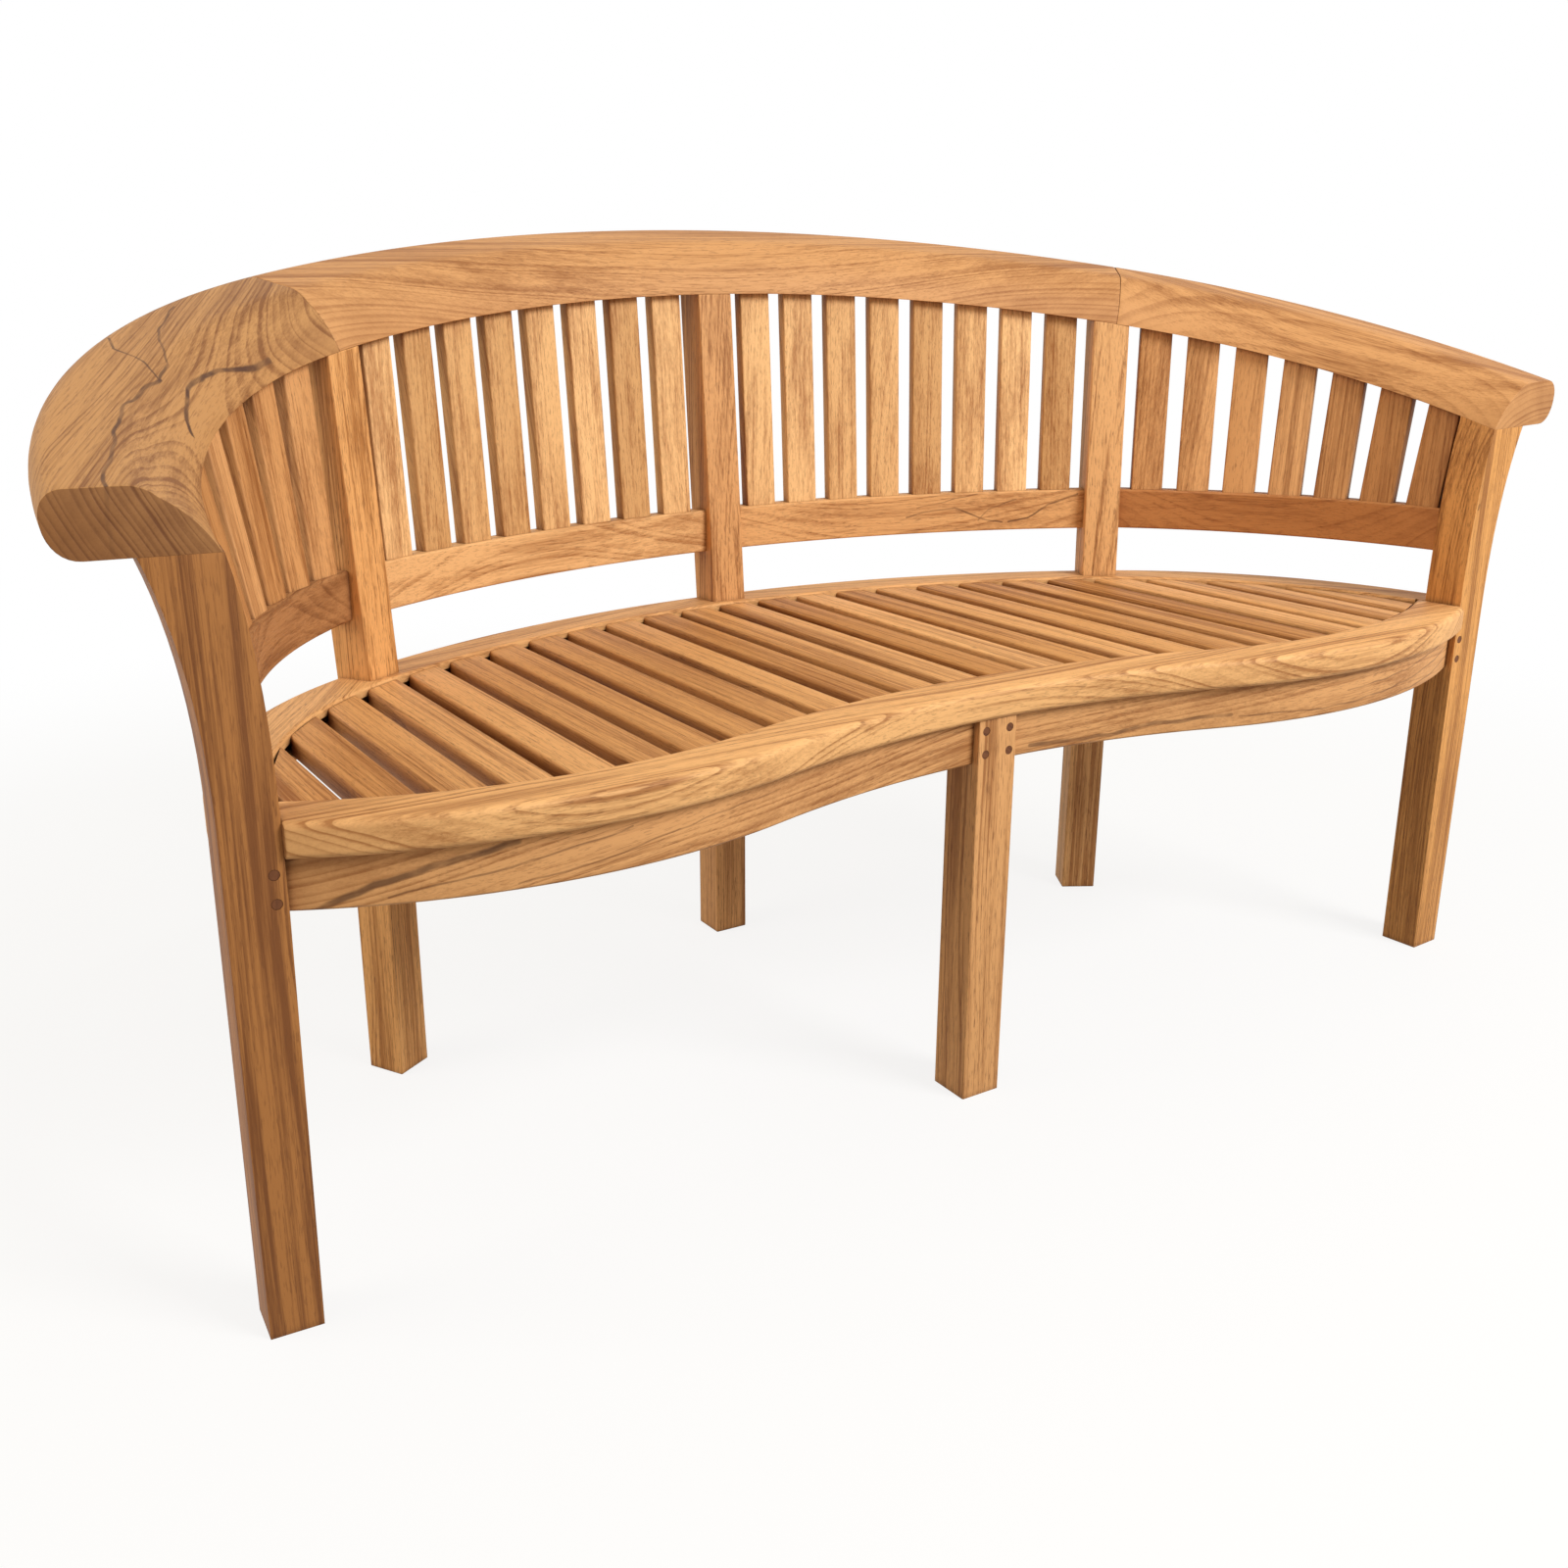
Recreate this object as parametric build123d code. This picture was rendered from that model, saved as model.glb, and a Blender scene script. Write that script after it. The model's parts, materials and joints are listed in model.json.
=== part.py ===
"""Curved teak garden bench with a wrap-round slatted back, in millimetres, +Z up.

The bench is built about the foot line, a plan curve of two tangent arcs through the centres
of the five outer legs. An angle along it is measured from +Y towards +X. X is the long way,
the sitter faces -Y, and the left half mirrors the right. The pieces are moved at the end so
that the origin lies on the ground under the middle of the whole bench.
"""
from build123d import *
import math
import os

os.makedirs("parts", exist_ok=True)

# Foot line
back_radius = 1005
back_half_angle = 30.4
arm_radius = 468
arm_angle = 56.35

# Stock and heights
leg = 45
leg_edge = 1.5
front_leg = 48
seat_height = 449
seat_frame_thick = 30.5
lower_rail_gap = 61
lower_rail_height = 51
lower_rail_thick = 25
lower_rail_setback = 13
lower_rail_arm_radius = 619.5
lower_rail_arm_back = 12.5
lower_rail_arm_front_in = 9.7
lower_rail_edge = 2.5

# Top rail: three pieces in one plane that slopes down to the front
rail_width = 118
rail_thick = 48
rail_tilt = 16.4
rail_over_seat = 365
rail_setback = 8
rail_back_radius = 917
rail_back_half_angle = 34
rail_arm_radius = 500
rail_arm_sweep = 60
rail_nose_height = 30
rail_nose_under = 25
rail_nose_over = 17
rail_inner_slope = 48
rail_inner_bow = 4
seam_dowel_diameter = 10
seam_dowel_length = 64

# Front post: swells at the seat and flares out under the rail
waist_inner = 28
waist_outer = 19.5
post_head_depth = 60
head_inner_lean = 12
head_outer_lean = 18

# Seat frame
hollow_lead = 22.7
bulge_lead = 90.7
bulge_gap = 289
bulge_radius = 600
board_width = 58
board_edge = 4
front_leg_setback = 5
apron_height = 47
apron_thick = 26
apron_setback = 14
apron_edge = 2
seat_rail_lip = 10
seat_rail_setback = 4
seat_rail_edge = 3

# Bearers under the seat
centre_bearer_width = 40
side_bearer_width = 30
bearer_height = 48

# Seat slats
seat_slats_per_side = 12
seat_slat_width = 42
seat_side_gap = 11.4
seat_slat_thick = 20
seat_slat_drop = 3
seat_slat_edge = 3.5
tongue_thick = 8
tongue_length = 6
tongue_inset = 4

# Back slats
back_slats_per_bay = 8
arm_slats_per_bay = 7
arm_slat_lead = 18.1
arm_slat_gap = 19.7
back_slat_width = 40
back_slat_thick = 16
back_slat_setback = 12
back_slat_edge = 2
housing_depth = 10

# Joints
tenon_thick = 12
tenon_length = 16
tenon_root = 5
tenon_shoulder = 8
head_tenon_width = 24
head_tenon_height = 20
peg_diameter = 9
peg_length = 30
peg_inset = 9
peg_rise = 12
fit = 0.2
slat_play = 0.4

# Values that follow
front_angle = 180
half_leg = leg / 2
half_front_leg = front_leg / 2
total_angle = back_half_angle + arm_angle
frame_base = seat_height - seat_frame_thick
apron_base = frame_base - apron_height
lower_rail_base = seat_height + lower_rail_gap
lower_rail_top = lower_rail_base + lower_rail_height
rail_under_height = seat_height + rail_over_seat
slat_top = seat_height - seat_slat_drop
slat_base = slat_top - seat_slat_thick
bearer_base = slat_base - bearer_height
frame_middle = seat_height - seat_frame_thick / 2
tongue_middle = slat_base + seat_slat_thick / 2
seat_rail_inner = half_leg + seat_rail_lip
tilt = math.radians(rail_tilt)

back_centre = Vector(0, -back_radius)
rail_centre = Vector(0, rail_setback - rail_back_radius)
rail_plane = Plane(
    origin=(0, 0, rail_under_height),
    x_dir=(1, 0, 0),
    z_dir=(0, -math.sin(tilt), math.cos(tilt)),
)


def around(centre, radius, angle):
    """Plan point on a circle, the angle measured from +Y towards +X."""
    turn = math.radians(angle)
    return Vector(centre.X + radius * math.sin(turn), centre.Y + radius * math.cos(turn))


arm_centre = around(back_centre, back_radius - arm_radius, back_half_angle)
rail_arm_centre = around(rail_centre, rail_back_radius - rail_arm_radius, rail_back_half_angle)


def foot(angle):
    """Point on the foot line."""
    if angle <= back_half_angle:
        return around(back_centre, back_radius, angle)
    return around(arm_centre, arm_radius, angle)


def outward(angle):
    """Unit vector square to the foot line, away from the sitter."""
    turn = math.radians(angle)
    return Vector(math.sin(turn), math.cos(turn), 0)


def station(angle):
    """Plane on the ground at the foot line: x outwards, y back towards the middle, z up."""
    return Plane(origin=foot(angle), x_dir=outward(angle), z_dir=(0, 0, 1))


def reach(angle):
    """How far out from the foot line the rail's inner edge lies, in plan."""
    start = foot(angle)
    way = outward(angle)
    slope = math.cos(tilt)

    def meet(centre, radius):
        gap_x = start.X - centre.X
        gap_y = start.Y / slope - centre.Y
        way_x = way.X
        way_y = way.Y / slope
        square = way_x**2 + way_y**2
        along = gap_x * way_x + gap_y * way_y
        rest = gap_x**2 + gap_y**2 - radius**2
        return (math.sqrt(along**2 - square * rest) - along) / square

    out = meet(rail_centre, rail_back_radius)
    point = start + way * out
    swing = math.degrees(math.atan2(point.X, point.Y / slope - rail_centre.Y))
    if swing > rail_back_half_angle:
        out = meet(rail_arm_centre, rail_arm_radius)
    return out


def under_rail(angle, out):
    """Height of the rail's underside at a distance out from the foot line."""
    point = foot(angle) + outward(angle) * out
    return rail_under_height + point.Y * math.tan(tilt)


def below_rail(solid, sunk=0):
    """What is left of a piece under the rail, or under a plane sunk into the rail."""
    return split(solid, bisect_by=rail_plane.offset(sunk), keep=Keep.BOTTOM)


def upright(angle, profile, width):
    """Piece with an outline of (out, height) points or edges, centred across its width."""
    plane = Plane(origin=foot(angle), x_dir=outward(angle), z_dir=outward(angle + 90))
    return extrude(plane * profile, width / 2, both=True)


def block(angle, out, across, low, high):
    """Box at a station, from pairs of limits outwards and across."""
    size = (out[1] - out[0], across[1] - across[0], high - low)
    middle = ((out[0] + out[1]) / 2, (across[0] + across[1]) / 2, (low + high) / 2)
    return station(angle) * Pos(*middle) * Box(*size)


def grown(low_high, by):
    """Pair of limits let out at both ends."""
    return (low_high[0] - by, low_high[1] + by)


def ease(solid, edge):
    """Rounds the long upright edges of a leg, but not those of its tenons."""
    tall = solid.edges().filter_by(lambda e: e.length > seat_height / 2)
    return fillet(tall, edge)


# Posts and legs

def leaning_profile(out_low, z_low, out_high, z_high, depth, start, stop):
    """Outline of a bar whose middle line runs through two points."""
    def middle(z):
        return out_low + (out_high - out_low) * (z - z_low) / (z_high - z_low)

    half = depth / 2
    return make_face(
        Polyline(
            (middle(start) - half, start),
            (middle(start) + half, start),
            (middle(stop) + half, stop),
            (middle(stop) - half, stop),
            close=True,
        )
    )


def back_post_body(angle):
    """Outline of a back post: upright to the seat, then leaning out to the rail's edge."""
    head = reach(angle)
    head_height = under_rail(angle, head)
    spare = leg
    share = (head_height + spare - seat_height) / (head_height - seat_height)
    shift = (head + half_leg) * share
    half = half_leg
    return make_face(
        Polyline(
            (-half, 0),
            (half, 0),
            (half, seat_height),
            (half + shift, head_height + spare),
            (shift - half, head_height + spare),
            (-half, seat_height),
            close=True,
        )
    )


def head_tenon(angle, middle, lean, grow=0):
    """Stub tenon on a post's head, let into the rail."""
    low = under_rail(angle, middle) - head_tenon_height
    high = under_rail(angle, middle) + 2 * head_tenon_height
    profile = leaning_profile(middle, under_rail(angle, middle), middle + lean, high,
                              head_tenon_width + 2 * grow, low, high)
    return below_rail(upright(angle, profile, head_tenon_width + 2 * grow), head_tenon_height + grow)


def back_head(angle):
    """Middle of a back post's head, and its lean over the height of the tenon."""
    head = reach(angle)
    rise = under_rail(angle, head) - seat_height
    return head + half_leg, (head + half_leg) / rise * 2 * head_tenon_height


def make_back_post(angle):
    """Full-height back post with its head tenon."""
    post = ease(upright(angle, back_post_body(angle), leg), leg_edge)
    return below_rail(post) + head_tenon(angle, *back_head(angle))


def front_head():
    """Middle of a front post's head, and its lean over the height of the tenon."""
    return reach(total_angle) + post_head_depth / 2, 0


def make_front_post():
    """Front post: tapers up to the seat, then flares out and carries the rail's end."""
    head = reach(total_angle)
    top = under_rail(total_angle, head)
    over = top + head_inner_lean
    inner = [
        Line((-half_leg, 0), (-waist_inner, apron_base)),
        Line((-waist_inner, apron_base), (-waist_inner, seat_height)),
        Spline((-waist_inner, seat_height), (head, top),
               tangents=[(0, 1), (head_inner_lean, leg)]),
        Line((head, top), (head, over)),
    ]
    outer = [
        Line((head, over), (head + post_head_depth + head_outer_lean, over)),
        Line((head + post_head_depth + head_outer_lean, over), (head + post_head_depth, top)),
        Spline((head + post_head_depth, top), (waist_outer, seat_height),
               tangents=[(-head_outer_lean, -leg), (0, -1)]),
        Line((waist_outer, seat_height), (waist_outer, apron_base)),
        Line((waist_outer, apron_base), (half_leg, 0)),
        Line((half_leg, 0), (-half_leg, 0)),
    ]
    body = upright(total_angle, make_face(inner + outer), leg)
    return below_rail(body) + head_tenon(total_angle, *front_head())


# Front curve of the seat: a hollow arc in the middle that runs into a bulge on each side

front_end = foot(total_angle).X
front_reach = hollow_lead - foot(total_angle).Y
bulge_reach = bulge_lead - foot(total_angle).Y
bulge_place = front_end - bulge_gap
bulge_centre_y = bulge_radius - bulge_reach
hollow_depth = bulge_centre_y + front_reach
hollow_radius = (bulge_place**2 + hollow_depth**2 - bulge_radius**2) / (2 * (bulge_radius - hollow_depth))
front_turn = math.degrees(math.atan2(bulge_place, hollow_depth + hollow_radius))
front_clear = bulge_reach + leg


def front_zone(inset):
    """Face of everything in front of the seat's front curve moved back by an inset."""
    hollow = Vector(0, -front_reach - hollow_radius)
    bulge = Vector(bulge_place, bulge_centre_y)
    radius = bulge_radius - inset
    start = around(hollow, hollow_radius + inset, front_turn)
    last = math.degrees(math.asin((front_end - bulge_place) / radius))

    def on_bulge(angle):
        turn = math.radians(angle)
        return Vector(bulge.X + radius * math.sin(turn), bulge.Y - radius * math.cos(turn))

    middle = on_bulge((last - front_turn) / 2)
    end = on_bulge(last)

    def flip(point):
        return Vector(-point.X, point.Y)

    return make_face([
        ThreePointArc(flip(start), (0, inset - front_reach), start),
        ThreePointArc(start, middle, end),
        Line(end, (end.X, -front_clear)),
        Line((end.X, -front_clear), (-end.X, -front_clear)),
        Line((-end.X, -front_clear), flip(end)),
        ThreePointArc(flip(end), flip(middle), flip(start)),
    ])


def back_zone(out):
    """Face of everything inside the foot line let out by a distance."""
    side = around(back_centre, back_radius + out, back_half_angle)
    bend = around(arm_centre, arm_radius + out, (back_half_angle + 90) / 2)
    end = around(arm_centre, arm_radius + out, 90)

    def flip(point):
        return Vector(-point.X, point.Y)

    return make_face([
        ThreePointArc(flip(side), (0, out), side),
        ThreePointArc(side, bend, end),
        Line(end, (end.X, -front_clear)),
        Line((end.X, -front_clear), (-end.X, -front_clear)),
        Line((-end.X, -front_clear), flip(end)),
        ThreePointArc(flip(end), flip(bend), flip(side)),
    ])


def slab(face, low, high):
    """Face raised between two heights."""
    return extrude(Pos(0, 0, low) * face, high - low)


def inside_front_posts(solid):
    """Keeps what lies between the inner faces of the two front posts."""
    for side in (1, -1):
        way = outward(total_angle)
        face = foot(total_angle) - way * waist_inner
        plane = Plane(origin=(side * face.X, face.Y, 0), z_dir=(side * way.X, way.Y, 0))
        solid = split(solid, bisect_by=plane, keep=Keep.BOTTOM)
    return solid


def both(solid):
    """Piece and its mirror image in X."""
    return [solid, mirror(solid, about=Plane.YZ)]


def front_post_tenon(middle, height, grow=0):
    """Tenon into the inner face of a front post."""
    out = (-waist_inner - tenon_root, -waist_inner + tenon_length + grow)
    half = height / 2 + grow
    return block(total_angle, out, grown((-tenon_thick / 2, tenon_thick / 2), grow),
                 middle - half, middle + half)


def front_leg_middle():
    """Distance of the front centre leg's axis from the foot line's middle."""
    return -front_reach + front_leg_setback + half_front_leg


def front_leg_block(low, high):
    """The front centre leg's stock between two heights."""
    return Pos(0, front_leg_middle(), (low + high) / 2) * Box(front_leg, front_leg, high - low)


def front_leg_tenon(side, middle, height, grow=0):
    """Tenon into the side of the front centre leg."""
    near = half_front_leg - tenon_length - grow
    far = half_front_leg + tenon_root
    size = (far - near, tenon_thick + 2 * grow, height + 2 * grow)
    return Pos(side * (near + far) / 2, front_leg_middle(), middle) * Box(*size)


board_tenon_height = seat_frame_thick - 2 * tenon_shoulder
apron_tenon_height = apron_height - 2 * tenon_shoulder
apron_middle = (apron_base + frame_base) / 2


def slat_groove():
    """Groove round the seat opening that takes the slats' tongues."""
    depth = tongue_length + fit
    face = back_zone(depth - seat_rail_inner) - front_zone(board_width - depth)
    half = tongue_thick / 2 + fit
    return slab(face, tongue_middle - half, tongue_middle + half)


def front_bar(inset, thick, low, high, edge):
    """Bar with bevelled edges along the front curve, moved back by an inset."""
    hollow = Vector(0, -front_reach - hollow_radius)
    last = math.degrees(math.asin((front_end - bulge_place) / bulge_radius))
    bar = ring(hollow, hollow_radius, (inset, inset + thick), (low, high), (-front_turn, front_turn), edge,
               bevelled)
    bulge = ring(Vector(bulge_place, bulge_centre_y), bulge_radius, (-inset - thick, -inset), (low, high),
                 (front_angle - last, front_angle + front_turn), edge, bevelled)
    for part in both(bulge):
        bar += part
    return inside_front_posts(bar)


def make_front_board():
    """Board along the front of the seat."""
    board = front_bar(0, board_width, frame_base, seat_height, board_edge)
    board -= slat_groove()
    for tenon in both(front_post_tenon(frame_middle, board_tenon_height)):
        board += tenon
    return board - Pos(0, front_leg_middle(), frame_base) * Box(
        head_tenon_width + 2 * fit, head_tenon_width + 2 * fit, 2 * (board_tenon_height + fit))


def make_apron(side):
    """Curved apron set back under the front board, tenoned at both ends."""
    apron = front_bar(apron_setback, apron_thick, apron_base, frame_base, apron_edge)
    plane = Plane(origin=(side * half_front_leg, 0, 0), z_dir=(-side, 0, 0))
    apron = split(apron, bisect_by=plane, keep=Keep.BOTTOM)
    tenon = both(front_post_tenon(apron_middle, apron_tenon_height))[0 if side > 0 else 1]
    return apron + tenon + front_leg_tenon(side, apron_middle, apron_tenon_height)


def make_front_leg():
    """Short leg under the middle of the front board."""
    shaft = ease(front_leg_block(0, frame_base), leg_edge)
    head = Pos(0, front_leg_middle(), frame_base) * Box(
        head_tenon_width, head_tenon_width, 2 * board_tenon_height)
    shaft += head
    for side in (1, -1):
        shaft -= front_leg_tenon(side, apron_middle, apron_tenon_height, fit)
    return shaft


# Curved rails between the posts

def bevelled(width, height, edge):
    """Rectangle with its corners cut off."""
    return chamfer(Rectangle(width, height).vertices(), edge)


def ring(centre, radius, in_out, low_high, from_to, edge, outline=RectangleRounded):
    """Curved bar with eased edges, between two angles about an arc's centre."""
    width = in_out[1] - in_out[0]
    height = low_high[1] - low_high[0]
    turn = from_to[1] - from_to[0]
    side = around(Vector(0, 0), 1, from_to[1])
    plane = Plane(origin=centre, x_dir=side, z_dir=side.cross(Vector(0, 0, 1)))
    middle = radius + (in_out[0] + in_out[1]) / 2
    section = plane * Pos(middle, (low_high[0] + low_high[1]) / 2) * outline(width, height, edge)
    return revolve(section, Axis(centre, (0, 0, 1)), revolution_arc=turn)


def side_tenon(angle, side, out, middle, height, grow=0):
    """Tenon into a post's side face; side is 1 towards the middle and -1 towards the front."""
    across = sorted((side * (half_leg - tenon_length - grow), side * (half_leg + tenon_root)))
    half_height = height / 2 + grow
    half_thick = tenon_thick / 2 + grow
    return block(angle, (out - half_thick, out + half_thick), across,
                 middle - half_height, middle + half_height)


seat_rail_outer = half_leg - seat_rail_setback
seat_rail_axis = (seat_rail_outer - seat_rail_inner) / 2
seat_rail_tenon = seat_frame_thick - 2 * tenon_shoulder
lower_rail_middle = lower_rail_base + lower_rail_height / 2
lower_rail_tenon = lower_rail_height - 2 * tenon_shoulder


def post_face(angle, height):
    """How far out a back post's front face stands at a height above the seat."""
    head = reach(angle)
    share = (height - seat_height) / (under_rail(angle, head) - seat_height)
    return (head + half_leg) * share - half_leg


lower_rail_inner = post_face(back_half_angle, lower_rail_middle) + lower_rail_setback
lower_rail_axis = lower_rail_inner + lower_rail_thick / 2


def lower_arm_arc():
    """Centre of the arm's lower rail, and the angles about it of the rail's two ends."""
    start = foot(back_half_angle) + outward(back_half_angle) * lower_rail_arm_back
    end = foot(total_angle) - outward(total_angle) * lower_rail_arm_front_in
    chord = end - start
    drop = math.sqrt(lower_rail_arm_radius**2 - chord.length**2 / 4)
    centre = (start + end) / 2 + chord.cross(Vector(0, 0, 1)).normalized() * drop
    turns = [math.degrees(math.atan2(point.X - centre.X, point.Y - centre.Y)) for point in (start, end)]
    return centre, tuple(turns)


def lower_rail_out(angle, side=-1):
    """How far out from the foot line the lower rail on one side of a station runs."""
    if angle < back_half_angle or (angle == back_half_angle and side > 0):
        return lower_rail_axis
    gap = lower_arm_arc()[0] - arm_centre
    along = gap.dot(outward(angle))
    return along + math.sqrt(lower_rail_arm_radius**2 - gap.length**2 + along**2) - arm_radius


def bays():
    """The two right-hand bays: name, arc centre, radius, first and last post."""
    return [
        ("centre", back_centre, back_radius, 0, back_half_angle),
        ("arm", arm_centre, arm_radius, back_half_angle, total_angle),
    ]


def between_posts(bar, first, last):
    """Bar cut back to the side faces of the posts at its ends."""
    room = (-leg * 2, leg * 2)
    bar -= block(first, room, (-half_leg, half_leg), 0, 2 * seat_height)
    if last == total_angle:
        return bar - block(last, room, (-leg * 2, half_leg), 0, 2 * seat_height)
    return bar - block(last, room, (-half_leg, half_leg), 0, 2 * seat_height)


def make_seat_rail(centre, radius, first, last):
    """Curved rail at the back of the seat; its lip meets the next one before the post."""
    bar = ring(centre, radius, (-seat_rail_inner, seat_rail_outer), (frame_base, seat_height),
               (first, last), seat_rail_edge)
    for angle in (first, last):
        back = half_leg if angle < total_angle else leg * 2
        bar -= block(angle, (-half_leg, leg), (-back, half_leg), 0, seat_height + leg)
    if last == total_angle:
        bar -= block(last, (-leg, leg), (-leg * 2, half_leg), 0, seat_height + leg)
        bar -= inside_front_posts(slab(front_zone(board_width), 0, seat_height + leg))
    bar -= slat_groove()
    bar += side_tenon(first, -1, seat_rail_axis, frame_middle, seat_rail_tenon)
    return bar + side_tenon(last, 1, seat_rail_axis, frame_middle, seat_rail_tenon)


def make_lower_rail(centre, radius, first, last):
    """Curved rail that carries the feet of the back slats; the arm's is flatter than the foot line."""
    radius += lower_rail_axis
    ends = (first, last)
    if last == total_angle:
        centre, ends = lower_arm_arc()
        radius = lower_rail_arm_radius
    bar = ring(centre, radius, (-lower_rail_thick / 2, lower_rail_thick / 2),
               (lower_rail_base, lower_rail_top), ends, lower_rail_edge)
    bar = between_posts(bar, first, last)
    bar += side_tenon(first, -1, lower_rail_out(first, -1), lower_rail_middle, lower_rail_tenon)
    return bar + side_tenon(last, 1, lower_rail_out(last, 1), lower_rail_middle, lower_rail_tenon)


def cut_side_mortises(post, angle, sides):
    """Mortises for the seat rails and lower rails in a post's side faces."""
    for side in sides:
        post -= side_tenon(angle, side, seat_rail_axis, frame_middle, seat_rail_tenon, fit)
        post -= side_tenon(angle, side, lower_rail_out(angle, side), lower_rail_middle, lower_rail_tenon, fit)
    return post


# Bearers under the seat

bearer_tenon = bearer_height - 2 * tenon_shoulder
bearer_middle = (bearer_base + slat_base) / 2


def bearer_cheeks(bearer):
    """Notches a bearer under the front board and the seat rails."""
    bearer -= slab(front_zone(board_width), frame_base, seat_height)
    rim = back_zone(half_leg) - back_zone(-seat_rail_inner)
    return bearer - slab(rim, frame_base, seat_height)


def bearer_post_tenon(angle, grow=0):
    """Tenon into a back post's front face."""
    half_height = bearer_tenon / 2 + grow
    half_thick = tenon_thick / 2 + grow
    return block(angle, (-half_leg - tenon_root, tenon_length - half_leg + grow),
                 (-half_thick, half_thick), bearer_middle - half_height, bearer_middle + half_height)


def bearer_front_tenon(place, face, length, grow=0):
    """Tenon into the back of the front leg or of an apron."""
    size = (tenon_thick + 2 * grow, length + tenon_root + grow, bearer_tenon + 2 * grow)
    return Pos(place, face + (tenon_root - length - grow) / 2, bearer_middle) * Box(*size)


front_leg_back = front_leg_middle() + half_front_leg


def make_centre_bearer():
    """Bearer from the front centre leg to the centre back post."""
    length = -half_leg - front_leg_back
    bearer = Pos(0, front_leg_back + length / 2, bearer_middle) * Box(
        centre_bearer_width, length, bearer_height)
    bearer = bearer_cheeks(bearer)
    bearer += bearer_post_tenon(0)
    return bearer + bearer_front_tenon(0, front_leg_back, tenon_length)


side_bearer_place = (foot(back_half_angle) - outward(back_half_angle) * half_leg).X
apron_back = bulge_centre_y - math.sqrt(
    (bulge_radius - apron_setback - apron_thick)**2 - (side_bearer_place - bulge_place)**2)
apron_stub = apron_thick / 3


def make_side_bearer():
    """Bearer from a front apron to a side back post, scribed to both."""
    back = foot(back_half_angle).Y
    length = back + bulge_reach
    bearer = Pos(side_bearer_place, back - length / 2, bearer_middle) * Box(
        side_bearer_width, length, bearer_height)
    way = outward(back_half_angle)
    face = foot(back_half_angle) - way * half_leg
    bearer = split(bearer, bisect_by=Plane(origin=face, z_dir=way), keep=Keep.BOTTOM)
    bearer -= slab(front_zone(apron_setback + apron_thick), 0, seat_height)
    bearer = bearer_cheeks(bearer)
    bearer += bearer_post_tenon(back_half_angle)
    return bearer + bearer_front_tenon(side_bearer_place, apron_back, apron_stub)


# Top rail

def rail_section(radius):
    """Section of the top rail, placed at its distance from the arc's centre."""
    width = radius + rail_width
    nose = Vector(width, rail_nose_height)
    under = Vector(width - rail_nose_under, 0)
    over = Vector(width - rail_nose_over, rail_thick)
    crest = Vector(radius + rail_inner_slope, rail_thick)
    inner = Vector(radius, 0)
    bow = (inner + crest) / 2 + Vector(-rail_thick, rail_inner_slope).normalized() * rail_inner_bow
    return make_face([
        Line(inner, under),
        ThreePointArc(under, quarter(under, nose, (width, 0)), nose),
        ThreePointArc(nose, quarter(nose, over, (width, rail_thick)), over),
        Line(over, crest),
        ThreePointArc(crest, bow, inner),
    ])


def quarter(start, end, corner):
    """Middle point of a rounding between two points that share a square corner."""
    corner_pull_share = 0.41
    middle = (start + end) / 2
    return middle + (Vector(*corner) - middle) * corner_pull_share


def rail_sweep(centre, radius, from_to):
    """Length of top rail between two angles about an arc's centre, in the sloping plane."""
    side = around(Vector(0, 0), 1, from_to[1])
    plane = Plane(origin=centre, x_dir=side, z_dir=side.cross(Vector(0, 0, 1)))
    bar = revolve(plane * rail_section(radius), Axis(centre, (0, 0, 1)),
                  revolution_arc=from_to[1] - from_to[0])
    return rail_plane * bar


def seam_dowel(out, grow=0):
    """Dowel across the seam of two rail pieces."""
    point = around(rail_centre, rail_back_radius + out, rail_back_half_angle)
    along = around(Vector(0, 0), 1, rail_back_half_angle + 90)
    axis = Plane(origin=(point.X, point.Y, rail_thick / 2), z_dir=along)
    return rail_plane * (axis * Cylinder(seam_dowel_diameter / 2 + grow, seam_dowel_length + 2 * grow))


dowel_places = (half_leg + leg - seam_dowel_diameter, rail_width - rail_nose_height)


def back_slat(angle, grow=0):
    """Back slat, housed at both ends; grow lets out the housing that takes it."""
    head = reach(angle) + back_slat_setback + back_slat_thick / 2
    head_height = under_rail(angle, head)
    foot_height = lower_rail_top - housing_depth - grow
    depth = back_slat_thick + 2 * grow
    width = back_slat_width + 2 * grow
    profile = leaning_profile(lower_rail_out(angle), lower_rail_top, head, head_height, depth,
                              foot_height, head_height + leg)
    bar = upright(angle, profile, width)
    if not grow:
        bar = fillet(bar.edges().filter_by(lambda e: e.length > lower_rail_height * 2), back_slat_edge)
    return below_rail(bar, housing_depth + grow)


def slat_angles(radius, first, last, count):
    """Angles of the slats: evenly spaced between two back posts, and from the side post on in an arm."""
    radius += lower_rail_axis
    room = radius * math.radians(last - first) - leg
    gap = (room - count * back_slat_width) / (count + 1)
    lead = gap
    if last == total_angle:
        lead = arm_slat_lead
        gap = arm_slat_gap
    start = half_leg + lead + back_slat_width / 2
    return [first + math.degrees((start + k * (gap + back_slat_width)) / radius) for k in range(count)]


# Seat slats

seat_half_room = arm_centre.X + arm_radius - seat_rail_inner - slat_play
seat_slat_pitch = (seat_half_room - seat_side_gap - seat_slat_width / 2) / seat_slats_per_side


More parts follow.
